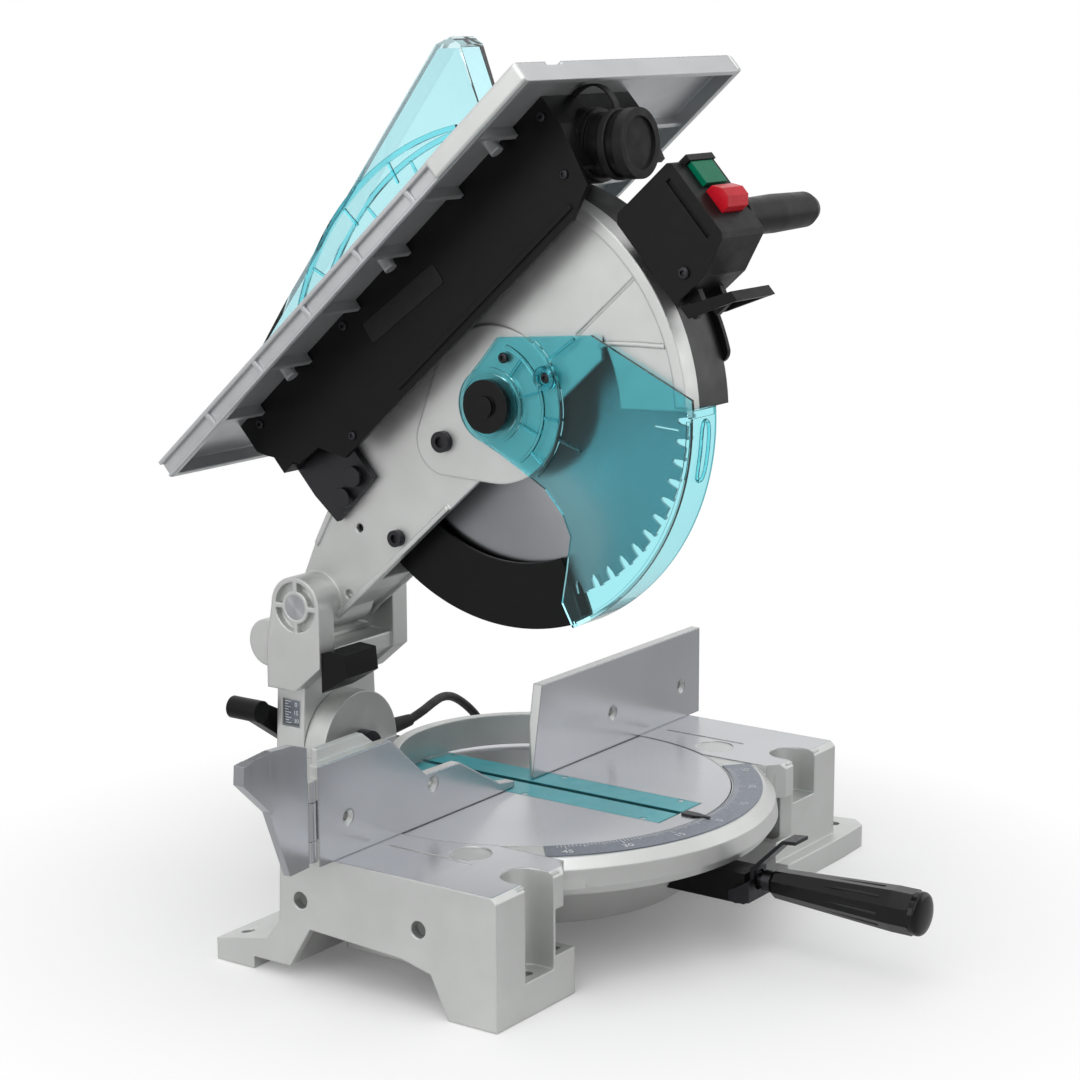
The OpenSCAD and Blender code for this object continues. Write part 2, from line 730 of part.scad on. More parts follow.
module blade_case() color("silver")
    head()
    difference() {
        union() {
            for (s = [-1, 1])
                side(s < 0 ? -case_x : case_x - case_wall, s < 0 ? -case_x + case_wall : case_x)
                    case_side2d();
            // Outer rim over the front of the blade.
            side(-case_x, case_x) sector(case_r - case_wall, case_r, 147, 219);
            // Solid root of the arm and the hinge barrel.
            side(-case_x + 1, case_x - 1)
                polygon([[-6, -ear_r + 6], [-40, -21], [-56, -21], [-56, 42], [-31, 34], [-6, ear_r - 5]]);
            rod_x(-ear_x + clr, spring_x - spring_wire / 2 - 0.6, 0, 0, ear_r - 0.5);
            // Arm's upper web and stiffening flanges.
            side(-case_x - 1.5, case_x + 1.5)
                polygon([[-31, 32], [-31, 36], [-72, 51], [-103, 58], [-112, 80], [-112, 76], [-106, 56],
                    [-72, 46]]);
            side(-case_x - 3, -case_x)
                polygon([[-10, -23], [by + 88, -23], [by + 88, -19], [-10, -19]]);
            // Seat of the switch box on the rim.
            difference() {
                side(4, case_x) polygon([[box_y, -30], [box_y, 32], [by - 140, 32], [by - 140, -30]]);
                rod_x(0, 60, by, bz, case_r - case_wall);
            }
            // Raised band along the case's edge.
            side(-case_x - 2.4, -case_x + 1) sector(case_r - 9, case_r, 148, 218);
            // Guide blocks that the rear guard runs between.
            side(-case_x + 1, case_x - 1) sector(130, 162, -10, -1);
            // Bosses for the cover and the gear housing.
            rod_x(-case_x, -case_x + 10, -101, -10, 9);
        }
        rod_x(-100, 100, 0, 0, pin_r + run);
        rod_x(spring_x - spring_wire / 2 - 0.6, 60, 0, 0, spring_r + spring_wire / 2 + 1.5);
        // Slot in the arm's web for the rear guard.
        side(-rear_w / 2 - clr, rear_w / 2 + clr) sector(rear_r - 72, rear_r + 2, -75, 34);
        // Opening for flange and cover on the left, spindle on the right.
        rod_x(-case_x - 1, -case_x + case_wall + 1, by, bz, flange_d / 2 + 6);
        rod_x(case_x - case_wall - 1, case_x + 1, by, bz, 20);
        // Seam between the two case halves.
        side(-case_x - 0.01, -case_x + 1)
            polygon([[by - 91, 2.5], [by - 91, 4.5], [by - 200, 4.5], [by - 200, 2.5]]);
        // Holes along the arm.
        for (p = [[-75, 18], [-30, -14]])
            rod_x(-case_x - 4, -case_x + case_wall + 1, p[0], p[1], 3.5);
    }

// Dark strip along the edge of the right half of the case.
module case_skirt() color("black")
    head()
    side(case_x, case_x + 4) {
        sector(case_r - 12, case_r + 5, 178, 206);
        for (a = [178, 206])
            translate([by, bz]) rotate(a) translate([case_r - 3.5, 0]) circle(8.5);
    }

module centre_cover() color("gainsboro")
    head()
    difference() {
        union() {
            side(-case_x - 2, -case_x)
                link2d([by, bz], flange_d / 2 + 28, [by + 56, bz + 8], 26);
            rod_x(hub_x, -case_x, by, bz, 14);
        }
        rod_x(hub_x + 3, -case_x + 1, by, bz, 11);
        translate([0, by + 56, bz + 8]) rod_x(-case_x - 3, -case_x + 1, 0, 0, 4.6);
    }

module bolt_x(x, y, z, r, len) {
    rod_x(x - 6, x, y, z, r);
    rod_x(x, x + len, y, z, r * 0.55);
}

module case_bolts() color("black")
    head() {
        difference() {
            bolt_x(-case_x - 2, by + 56, bz + 8, 8, 1.9);
            rod_x(-case_x - 9, -case_x - 5, by + 56, bz + 8, 4);
        }
        difference() {
            rod_x(-case_x - 6, -case_x, -101, -10, 6.5);
            rod_x(-case_x - 7, -case_x - 3, -101, -10, 3.2);
        }
    }

module guard_hub_cap() color("black")
    head() {
        rod_x(hub_x - 5, hub_x, by, bz, 20);
        rod_x(hub_x - 8, hub_x - 5, by, bz, 8);
    }

module gear_side2d(w)
    link2d([by, bz], 52 - w, [my, mz], motor_r - w);

module gear_housing() color("silver")
    head()
    difference() {
        union() {
            side(case_x, gear_x) gear_side2d(0);
            // Ribs to the motor flange.
            for (a = [40, 140, 220, 320])
                translate([0, my, mz]) rotate([a, 0, 0])
                    translate([gear_x - 10, motor_r - 6, -4]) cube([10, 8, 8]);
        }
        side(case_x + 5, gear_x - 14) gear_side2d(4);
        rod_x(case_x - 1, case_x + 6, by, bz, 16);
        rod_x(gear_x - 15, gear_x + 1, my, mz, 13);
        rod_x(gear_x - 15, gear_x - 4, by, bz, 14);
        // Shaft lock hole.
        translate([case_x + 12, by, bz + 20]) cylinder(h = 60, r = 4 + run);
    }

module motor_housing() color("teal")
    head()
    difference() {
        union() {
            rod_x(gear_x, motor_x, my, mz, motor_r);
            for (a = [0:45:315])
                translate([0, my, mz]) rotate([a, 0, 0])
                    translate([gear_x + 12, motor_r - 2, -2]) cube([motor_len - 40, 4, 4]);
        }
        rod_x(gear_x - 1, motor_x + 1, my, mz, motor_r - motor_wall);
        // Cooling slots beside the gear housing.
        for (a = [15:30:345])
            translate([gear_x + 3, my, mz]) rotate([a, 0, 0])
                translate([0, motor_r - 8, -4]) cube([6, 12, 8]);
    }

module motor_end_cap() color("black")
    head()
    difference() {
        union() {
            rod_x(motor_x, motor_x + 18, my, mz, motor_r);
            rod_x(motor_x + 18, motor_x + 25, my, mz, motor_r - 9);
        }
        difference() {
            rod_x(motor_x - 1, motor_x + 14, my, mz, motor_r - 4);
            rod_x(motor_x + 3, motor_x + 20, my, mz, 18);
        }
        rod_x(motor_x - 1, motor_x + 20, my, mz, 13);
        // Air slots in the end.
        for (z = [-30:10:30])
            translate([motor_x + 12, my - 3 - sqrt(1600 - z * z), mz + z - 2])
                cube([20, sqrt(1600 - z * z) - 20 + 3 + (abs(z) > 20 ? 26 : 0), 4]);
    }

module brush_caps() color("black")
    head()
    for (s = [-1, 1])
        translate([motor_x - 16, my, mz]) rotate([s * 90, 0, 0]) {
            translate([0, 0, motor_r]) cylinder(h = 3, r = 9);
        }

module stator() color("dimgray")
    head()
    difference() {
        rod_x(gear_x + 26, motor_x - 28, my, mz, motor_r - motor_wall);
        rod_x(gear_x + 25, motor_x - 27, my, mz, 33);
    }

module bearings() color("gray")
    head() {
        difference() {
            rod_x(gear_x - 14, gear_x - 4, my, mz, 13);
            rod_x(gear_x - 15, gear_x - 3, my, mz, 6 + run);
        }
        difference() {
            rod_x(motor_x + 6, motor_x + 14, my, mz, 13);
            rod_x(motor_x + 5, motor_x + 15, my, mz, 6 + run);
        }
        difference() {
            rod_x(case_x, case_x + 5, by, bz, 16);
            rod_x(case_x - 1, case_x + 6, by, bz, 10 + run);
        }
        difference() {
            rod_x(gear_x - 14, gear_x - 6, by, bz, 14);
            rod_x(gear_x - 15, gear_x - 5, by, bz, 10 + run);
        }
    }

box_x = -45;
box_f = box_y - 62;
button_x = box_x + 30;
module switch_box() color("black")
    head()
    difference() {
        union() {
            side(box_x, box_x + box_w)
                polygon([[box_y, -38], [box_y, 34], [box_y - 5, 39], [box_f + 3, 39], [box_f, 36],
                    [box_f, -24], [box_f + 3, -28], [box_f + 31, -38]]);
            // Lug for the release lever.
            for (x = [box_x + 10, box_x + box_w - 16])
                side(x, x + 6) polygon([[box_y, -38], [box_y, -52], [box_y - 12, -52], [box_y - 16, -38]]);
            // Wider foot that sits on the case.
            side(4, case_x) polygon([[box_y, -30], [box_y, 32], [box_y - 12, 26], [box_y - 12, -24]]);
            // Raised shroud above the buttons.
            translate([button_x - 15, box_f - 5, 34]) cube([34, 8, 5]);
        }
        // Button wells.
        for (z = [1, 24])
            translate([button_x - 13, box_f - 1, z - 10]) cube([28, 20, 20]);
        // Groove in the left face.
        side(box_x - 1, box_x + 2.5) polygon([[box_f + 8, 30], [box_f + 12, 30], [box_f + 12, -20], [box_f + 8, -20]]);
        rod_x(box_x - 1, box_x + box_w + 10, box_y - 7, -46, 3);
    }

module start_button() color("green")
    head()
    difference() {
        translate([button_x - 12.6, box_f - 4, 14.4]) cube([27.2, 17, 19.2]);
        translate([button_x - 20, box_f - 6.5, 24]) rotate([12, 0, 0]) translate([0, -4, 0]) cube([40, 5, 20]);
    }

module stop_button() color("red")
    head()
    side(button_x - 12.6, button_x + 14.6)
        polygon([[box_f + 13, -8.6], [box_f + 13, 10.6], [box_f - 6, 10.6], [box_f - 11, 4], [box_f - 11, -3],
            [box_f - 6, -8.6]]);

module handle() color("black")
    head()
    translate([box_x + box_w, box_y - 46, -4])
        rotate([0, 90, 0])
            rotate_extrude()
                polygon([[0, 0], [handle_d / 2 + 3, 0], [handle_d / 2 + 3, 4], [handle_d / 2 - 1, 8],
                    [handle_d / 2, handle_len / 2], [handle_d / 2 - 1, handle_len - 10],
                    [handle_d / 2 - 4, handle_len - 2], [handle_d / 2 - 8, handle_len], [0, handle_len]]);

module release_lever() color("black")
    head() {
        for (x = [box_x + 2, box_x + box_w - 6])
            side(x, x + 4)
                polygon([[box_y - 1, -41], [box_y - 1, -51], [box_y - 40, -66], [box_y - 40, -58]]);
        side(box_x + 2, box_x + box_w - 2)
            polygon([[box_y - 36, -56.6], [box_y - 36, -64.6], [box_y - 40, -66], [box_y - 40, -58]]);
        rod_x(box_x + 2, box_x + box_w - 2, box_y - 7, -46, 3 - run);
    }

module riving_knife() color("lightgray")
    head()
    difference() {
        side(-knife_t / 2, knife_t / 2)
            difference() {
                polygon([[knife_y - 60, 92], [knife_y - 4, 92], [knife_y + 16, 130], [knife_y + 17, 180],
                    [knife_y + 2, 188], [knife_y - 16, 187], [knife_y - 60, 150]]);
                translate([by, bz]) circle(blade_r + 5, $fn = 120);
            }
        rod_x(-10, 10, knife_y, knife_z, 3);
    }

module table_bracket() color("dimgray")
    head() {
        // Cross plate that carries the knife.
        difference() {
            side(-case_x + case_wall, case_x - case_wall)
                polygon([[-92, 80], [-92, 112], [-100, 118], [-128, 118], [-128, 113], [-102, 108], [-100, 80]]);
            side(-knife_t / 2, knife_t / 2) square([400, 400], center = true);
        }
        // Plates that the saw table slides on, with their bolts.
        for (x = [-case_x - 8, case_x + 2])
            side(x, x + 6) polygon([[-66, 32], [-62, 60], [-62, 116], [-100, 116], [-118, 100], [-118, 36]]);
        for (p = [[-86, 41], [-106, 47]]) {
            rod_x(-case_x - 14, -case_x - 8, p[0], p[1], 8);
            rod_x(-case_x - 2, -case_x, p[0], p[1], 6);
            rod_x(case_x, case_x + 2, p[0], p[1], 6);
        }
    }

module lower_guard() color("cadetblue")
    head()
    difference() {
        union() {
            side(guard_x, guard_x + guard_t)
                intersection() {
                    translate([by, bz]) circle(guard_r, $fn = 144);
                    union() {
                        translate([by, bz]) circle(29);
                        translate([by, bz])
                            polygon([29 * [cos(80), sin(80)], [-16, 31], [-38, 34], [-104, -16],
                                (guard_r + 30) * [cos(221), sin(221)], 260 * [cos(250), sin(250)],
                                260 * [cos(286), sin(286)], (guard_r - 20) * [cos(288), sin(288)], [28, -131],
                                [8, -114], [3, -98], [3, -75], [11, -51], [18, -32], 29 * [cos(-25), sin(-25)]]);
                    }
                }
            side(guard_x, -1) sector(guard_r - guard_t, guard_r, 219, 286);
            // Closed front edge and hub ring.
            side(guard_x, -1) sector(guard_r - 5.5, guard_r, 218.5, 220.5);
            // Raised rings and rim on the outer face.
            side(guard_x - 2, guard_x) {
                sector(guard_r - 4, guard_r, 221, 286);
                sector(62, 65, 170, 271);
                sector(46, 48.5, 150, 278);
            }
            difference() {
                rod_x(guard_x - 2, guard_x, by, bz, 28.5);
                rod_x(guard_x - 3, guard_x + 1, by, bz, 26);
            }
            rod_x(hub_x + clr, guard_x + guard_t, by, bz, 24);
        }
        rod_x(hub_x - 1, 0, by, bz, 14 + run);
    }

module rear_guard() color("black")
    head()
    difference() {
        side(-rear_w / 2, rear_w / 2) sector(rear_r - 50, rear_r, -70, -4);
        side(-rear_w / 2 + 3, rear_w / 2 - 3) sector(rear_r - 62, rear_r - 4, -73, -1);
    }

module saw_blade() color("lightgray")
    head()
    translate([0, by, bz])
        rotate([90, 0, 90]) {
            difference() {
                translate([0, 0, -blade_t / 2])
                    linear_extrude(blade_t)
                        difference() {
                            circle(blade_r - 1.2, $fn = 180);
                            // Gullets.
                            for (i = [0:teeth - 1])
                                rotate([0, 0, 360 * i / teeth])
                                    translate([blade_r - 1.2, 0])
                                        polygon([[2, -1], [-9, 1.2], [-9.5, 3.4], [-7, 5], [2, 6.4]]);
                            circle(bore_d / 2);
                            // Expansion slots.
                            for (a = [10:72:300])
                                rotate([0, 0, a]) translate([blade_r - 30, -0.8]) square([21, 1.6]);
                        }
            }
            // Carbide tips.
            for (i = [0:teeth - 1])
                rotate([0, 0, 360 * i / teeth])
                    translate([blade_r - 9.5, -2.4, -tip_w / 2]) cube([9.4, 2.2, tip_w]);
        }

module blade_flanges() color("gray")
    head() {
        difference() {
            rod_x(blade_t / 2, blade_t / 2 + 9, by, bz, flange_d / 2);
            rod_x(0, 20, by, bz, 10);
        }
        difference() {
            rod_x(-blade_t / 2 - 6, -blade_t / 2, by, bz, flange_d / 2);
            rod_x(-20, 0, by, bz, 10);
        }
    }

module arbor_bolt() color("dimgray")
    head() {
        rod_x(-blade_t / 2 - 10, -blade_t / 2 - 6, by, bz, 15);
        translate([-blade_t / 2 - 17, by, bz]) rotate([0, 90, 0]) cylinder(h = 7, r = 10, $fn = 6);
    }

module spindle() color("gray")
    head() {
        rod_x(-blade_t / 2 - 6, blade_t / 2, by, bz, 10);
        rod_x(blade_t / 2, gear_x - 6, by, bz, 10);
        difference() {
            rod_x(-blade_t / 2, blade_t / 2, by, bz, bore_d / 2 - run);
            rod_x(-10, 10, by, bz, 9);
        }
        // Driven gear.
        translate([gear_x - 28, by, bz]) rotate([0, 90, 0])
            linear_extrude(12)
                circle(gear_r, $fn = 96);
    }

module armature() color("dimgray")
    head() {
        rod_x(case_x + 8, motor_x + 14, my, mz, 6);
        rod_x(gear_x - 29, gear_x - 15, my, mz, pinion_r);
        // Fan, core and commutator.
        rod_x(gear_x + 6, gear_x + 9, my, mz, motor_r - motor_wall - 5);
        for (a = [0:30:330])
            translate([0, my, mz]) rotate([a, 0, 0])
                translate([gear_x + 9, 16, -1]) cube([10, motor_r - motor_wall - 22, 2]);
        rod_x(gear_x + 24, motor_x - 30, my, mz, 32);
        rod_x(motor_x - 24, motor_x - 6, my, mz, 16);
    }

module saw_table() color("lightgray")
    head()
    difference() {
        union() {
            translate([table_x, table_y - table_len, under_z]) cube([table_w, table_len, table_t]);
            difference() {
                translate([table_x, table_y - table_len, rim_z]) cube([table_w, table_len, rim_h]);
                translate([table_x + 4, table_y - table_len + 4, rim_z - 1])
                    cube([table_w - 8, table_len - 8, rim_h + 1]);
            }
            // Ribs under the plate.
            for (i = [1:6])
                translate([table_x, table_y - i * table_len / 7 - 2, rim_z + 3]) cube([table_w, 4, rim_h - 4]);
            // Screw bosses beside the cover.
            for (i = [1.8, 3.8, 5.8], x = [table_x + 44, -table_x - 44])
                translate([x, table_y - i * table_len / 7, rim_z + 1]) cylinder(h = rim_h - 2, r = 5);
        }
        // Opening for the insert, the blade and the knife.
        translate([-26, by - 96, rim_z - 1]) cube([52, 262, rim_h + 5]);
        // Room for the cover under the plate.
        translate([-56, table_y - table_len + 22, rim_z - 1]) cube([112, table_len - 44, rim_h - table_t + 1]);
        // Mitre gauge groove and shallow grooves in the top.
        translate([table_x + 34, table_y - table_len - 1, table_z - 3]) cube([19, table_len + 2, 4]);
        for (x = [table_x + 8:8:table_x + table_w - 8])
            translate([x - 0.6, table_y - table_len - 1, table_z - 0.5]) cube([1.2, table_len + 2, 1]);
    }

module table_insert() color("dimgray")
    head()
    difference() {
        translate([-26, by - 96, under_z]) cube([52, 262, table_t - 0.6]);
        translate([-5, by - 89, under_z - 1]) cube([10, 251, 10]);
    }

cover_x = -55;
cover_f = by - case_r - 29.5;
module table_cover() color("black")
    head()
    difference() {
        union() {
            side(cover_x, cover_x + 4)
                polygon([[-54, under_z], [-54, 112], [-60, 104], [-82, 80], [-106, 78], [-122, 56], [cover_f + 37, 56],
                    [cover_f + 11, 66], [cover_f, 112], [cover_f, under_z]]);
            // Front and rear walls and the flange under the plate.
            side(cover_x, 56) polygon([[cover_f, under_z], [cover_f, 112], [cover_f + 8, 80], [cover_f + 12, 80], [cover_f + 4, 113],
                    [cover_f + 4, under_z]]);
            side(cover_x, 56) polygon([[-54, under_z], [-54, 124], [-58, 124], [-58, under_z]]);
            side(52, 56) polygon([[-54, under_z], [-54, 118], [cover_f + 4, 112], [cover_f + 4, under_z]]);
            // Raised panel edge on the outside.
            side(cover_x - 2, cover_x) polygon([[-410, 62], [-200, 62], [-200, 66], [-410, 66]]);
            // Runners on the bracket's plates.
            side(cover_x + 1, -case_x - 8 - clr) polygon([[-64, 84], [-64, under_z], [-76, under_z], [-76, 84]]);
            side(case_x + 8 + clr, 53) polygon([[-64, 102], [-64, under_z], [-112, under_z], [-112, 102]]);
            // Pipe stub for the nozzle.
            nozzle_at() cylinder(h = 12, r = nozzle_d / 2 + 4);
        }
        nozzle_at() translate([0, 0, -30]) cylinder(h = 60, r = nozzle_d / 2);
    }

module nozzle_at()
    translate([-15, cover_f + 17, 104])
        rotate([90 + 38, 0, 0])
            children();

module dust_nozzle() color("black")
    head()
    nozzle_at()
        difference() {
            union() {
                translate([0, 0, -6]) cylinder(h = 50, r = nozzle_d / 2);
                translate([0, 0, 12]) cylinder(h = 4, r = nozzle_d / 2 + 3);
            }
            translate([0, 0, -7]) cylinder(h = 60, r = nozzle_d / 2 - 3);
        }

module nozzle_cap() color("black")
    head()
    nozzle_at()
        difference() {
            translate([0, 0, 40]) cylinder(h = 8, r = nozzle_d / 2 + 2);
            translate([0, 0, 39]) cylinder(h = 5, r = nozzle_d / 2);
            translate([0, 0, 46]) cylinder(h = 5, r = nozzle_d / 2 - 4);
        }

module upper_guard() color("cadetblue")
    head() {
        difference() {
            side(-14, 14)
                polygon([[-92, 178], [-84, 188], [-131, 199], [-372, 245], [-386, 240], [-389, 230],
                    [-366, 172]]);
            side(-14 + guard_t, 14 - guard_t)
                polygon([[-60, 160], [-60, 186 - guard_t], [-131, 199 - guard_t], [-371, 245 - guard_t],
                    [-385, 230], [-362, 160]]);
        }
        // Pin that the guard lifts on.
        rod_x(-14, 14, knife_y, knife_z, 3 - run);
    }

module shaft_lock() color("black")
    head()
    translate([case_x + 12, by, 0]) {
        translate([0, 0, bz + 24]) cylinder(h = 40, r = 4);
        translate([0, 0, bz + 60]) cylinder(h = 8, r = 8);
    }

// Cord: gland on the trunnion, run to the floor behind, loops, plug.
cord_route = [[78, 176, 98], [100, 179, 100.5], [125, 187, 101], [150, 197, 98.5], [175, 206, 92],
    [198, 212, 81], [219, 215, 66], [238, 217, 47], [257, 218, 28], [277, 219, 13], [300, 220, 6],
    [325, 220, 4], [340, 220, 4]];
coil_at = [340, 160, 4];
coil_out = 60;
coil_step = 8;
coil_turns = 3.5;
coil_rise = 8;
function smooth(t) = t <= 0 ? 0 : t >= 1 ? 1 : t * t * (3 - 2 * t);
function coil_r(s) = s < coil_turns ? coil_out - coil_step * s
    : coil_out - coil_step * (2 * coil_turns - s);
function coil_z(s) = coil_rise * smooth((s - coil_turns + 0.25) * 2)
    + 8 * smooth((s - 2 * coil_turns + 0.3) / 0.3);
coil_path = [for (i = [0:24 * 2 * coil_turns]) let (s = i / 24, a = 90 - 360 * s)
    coil_at + [coil_r(s) * cos(a), coil_r(s) * sin(a), coil_z(s)]];
coil_gap = min([for (i = [0:4:len(coil_path) - 1]) for (j = [i + 12:len(coil_path) - 1])
    norm(coil_path[i] - coil_path[j])]) - cord_d;
echo(coil_gap = coil_gap);
spring_gap = min([for (i = [0:len(spring_path) - 1]) for (j = [i + 5:1:len(spring_path) - 1])
    norm(spring_path[i] - spring_path[j])]) - spring_wire;
echo(spring_gap = spring_gap);

module cord_gland() color("black")
    translate([trunnion_r, sleeve_y, sleeve_z])
        rotate([0, 90, 0]) {
            translate([0, 0, -3]) cylinder(h = 7, r = 8);
            translate([0, 0, 4]) cylinder(h = sleeve_len, r1 = 7, r2 = 5);
        }

module cord_run() color("black")
    tube(cord_route, cord_r, 8);

module cord_coil() color("black")
    tube(coil_path, cord_r, 6);

plug_at = coil_path[len(coil_path) - 1];
module plug() color("black")
    translate(plug_at)
        rotate([0, 90, 0]) {
            cylinder(h = 20, r1 = 5.5, r2 = 8);
            translate([0, 0, 20]) cylinder(h = 30, r = 18.5);
            for (s = [-9.5, 9.5])
                translate([0, s, 50]) cylinder(h = 19, r = 2.4);
        }

base_casting();
mitre_scale();
guide_fence();
fence_bolts();
mitre_pivot_bolt();
fence_leaf();
turntable();
kerf_board_left();
kerf_board_right();
kerf_screws();
mitre_pointer();
grip_bracket();
bevel_bolt();
cord_gland();
cord_run();
cord_coil();
plug();
grip_rod();
grip();
lock_lever();
bevel_arm();
pivot_pin();
return_spring();
bump_stop();
bevel_lever();
stop_pin();
blade_case();
case_skirt();
centre_cover();
case_bolts();
guard_hub_cap();
gear_housing();
motor_housing();
motor_end_cap();
brush_caps();
stator();
bearings();
switch_box();
handle();
riving_knife();
table_bracket();
lower_guard();
rear_guard();
saw_blade();
blade_flanges();
arbor_bolt();
spindle();
armature();
saw_table();
table_insert();
table_cover();
dust_nozzle();
nozzle_cap();
upper_guard();
start_button();
stop_button();
release_lever();
shaft_lock();
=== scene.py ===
"""Looks of the mitre saw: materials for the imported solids, small trim, the lead and the scales."""

import json
import math

import bmesh
import bpy
from mathutils import Matrix, Vector

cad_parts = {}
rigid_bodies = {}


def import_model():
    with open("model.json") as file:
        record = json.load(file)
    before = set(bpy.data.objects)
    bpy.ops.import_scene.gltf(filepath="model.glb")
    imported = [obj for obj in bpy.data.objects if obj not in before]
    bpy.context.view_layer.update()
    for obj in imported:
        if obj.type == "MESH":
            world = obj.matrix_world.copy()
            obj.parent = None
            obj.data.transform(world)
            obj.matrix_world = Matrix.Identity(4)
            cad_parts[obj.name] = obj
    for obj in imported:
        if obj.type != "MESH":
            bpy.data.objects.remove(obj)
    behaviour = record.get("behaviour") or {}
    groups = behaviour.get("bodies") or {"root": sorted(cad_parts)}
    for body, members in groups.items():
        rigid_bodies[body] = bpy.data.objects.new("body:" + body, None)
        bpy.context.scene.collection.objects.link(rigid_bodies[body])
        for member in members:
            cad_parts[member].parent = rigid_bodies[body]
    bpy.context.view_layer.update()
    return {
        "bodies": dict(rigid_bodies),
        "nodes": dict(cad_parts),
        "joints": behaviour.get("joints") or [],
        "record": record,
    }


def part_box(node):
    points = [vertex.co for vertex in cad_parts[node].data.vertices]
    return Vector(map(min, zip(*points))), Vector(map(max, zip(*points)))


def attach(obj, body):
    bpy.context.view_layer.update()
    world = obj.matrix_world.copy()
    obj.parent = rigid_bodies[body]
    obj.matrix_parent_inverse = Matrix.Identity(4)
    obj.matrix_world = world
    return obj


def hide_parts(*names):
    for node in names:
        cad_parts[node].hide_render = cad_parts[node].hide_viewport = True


MM = 0.001
LEFT = (-1, 0, 0)

# The photograph's camera.
CAMERA_AT = (-1.5633, -1.1198, 0.6787)
CAMERA_TARGET = (0.0185, 0.00435, 0.2853)
CAMERA_ROLL = math.radians(-0.22)
CAMERA_LENS = 87.17
CAMERA_SHIFT = (0.0034, -0.0065)

# The head as the photograph shows it, swung up about its hinge pin, and the blade's centre in the
# lowered head, in mm from the pin.
PIVOT = Vector((0, 183, 218)) * MM
SWING = math.radians(42)
HEAD = Matrix.Translation(PIVOT) @ Matrix.Rotation(-SWING, 4, "X")
HEAD_COORDS = {"rotation": (SWING, 0, 0), "location": tuple(HEAD.inverted().translation)}
BLADE_Y, BLADE_Z = -244.5, 10

# Colours that more than one material has.
PAINT = (0.6, 0.61, 0.6)
BLACK = (0.012, 0.012, 0.013)
BRIGHT, DULL = (0.5, 0.51, 0.53), (0.42, 0.43, 0.45)

# Paint over castings, the pull of turned marks on the gloss, how sharp an edge is that gets wear
# and a painted highlight (as the dot product of its rounded and true normals), and how far edges
# look rounded, in metres.
CAST_METAL, CAST_ROUGH = 0.75, (0.36, 0.48)
BRUSHED, WEAR_AND_HIGHLIGHT_EDGE = 0.85, (0.82, 0.97)
CAST_EDGE, CUT_EDGE, MOULD_EDGE = 0.0022, 0.0018, 0.001
MILLED_EDGE, TURNED_EDGE = 0.0006, 0.0004

# Where paint turns to bare metal, in metres: heights, and the fence's depth.
WING_TOP = (0.0946, 0.0948)
TURNED_TOP, TURNED_END = (0.0943, 0.0945), (0.0948, 0.0951)
FENCE_FRONT = (0.0003, 0.0006)
TABLE_TOP = (0.1412, 0.1414)

# Where the case's black strip begins, in metres: out from the blade's centre, to the right, and to
# the front.
STRIP_OUT, STRIP_RIGHT, STRIP_FRONT = (0.1661, 0.1664), (-0.0124, -0.012), (-0.1504, -0.15)

# How far the plug's two pins stand out, in mm.
PLUG_PINS = 18.9

# The lead in mm: its route as in the CAD source, then a coil of two layers, with the shares of a
# turn in which it climbs to the second layer and lifts its end, and the coil's tie.
CORD_D = 7.5 * MM
CORD_ROUTE = [
    (78, 176, 98), (100, 179, 100.5), (125, 187, 101), (150, 197, 98.5), (175, 206, 92),
    (198, 212, 81), (219, 215, 66), (238, 217, 47), (257, 218, 28), (277, 219, 13),
    (300, 220, 6), (325, 220, 4), (340, 220, 4),
]
COIL_AT = (340, 160, 4)
COIL_OUT, COIL_STEP, COIL_TURNS, COIL_RISE, COIL_END_RISE = 60, 8, 3.5, 8, 8
COIL_CLIMB, COIL_END, COIL_POINTS = 0.5, 0.3, 24
TIE_ROOM, TIE_LEVELS, TIE_HALF, TIE_INSIDE, TIE_POINTS = 5.5, (0.6, 17.2), 5, (0.97, 0.93), 40

# The return spring beside the hinge barrel, in mm.
SPRING_WIRE, SPRING_R, SPRING_TURNS, SPRING_PITCH, SPRING_X = 3, 14, 5, 3.8, 15.9
SPRING_POINTS = 24

# The printed mitre scale: its level and radii, the length of its marks in mm, and the size of its
# marks and numbers in metres.
SCALE_TOP = 95 * MM
SCALE_IN, SCALE_NUMBERS = 157.6 * MM, 171.5 * MM
LONG_MARK, MIDDLE_MARK, SHORT_MARK = 8.5, 6, 3.8
MARK_WIDE, MARK_THICK = 0.0005, 0.00012
NUMBER_HIGH, NUMBER_LIFT = 0.0085, 0.00008

# The bevel scale's drum in mm: its middle, half width, half height, thickness at the ends and
# bulge; its marks' level, end, two lengths and step; and its numbers' y, height and steps.
DRUM_AT = (-41, 198.9, 128)
DRUM_WIDE, DRUM_HIGH, DRUM_THICK, DRUM_BULGE = 8.7, 10.6, 0.5, 0.9
DRUM_PRINT, DRUM_MARK_END, DRUM_LONG, DRUM_SHORT, DRUM_STEP = 0.6, 7.6, 6, 3.6, 2.2
DRUM_NUMBER_Y, DRUM_NUMBER_HIGH = -3.6, 5
DRUM_NUMBERS = (("0", 3), ("15", 0), ("30", -3))

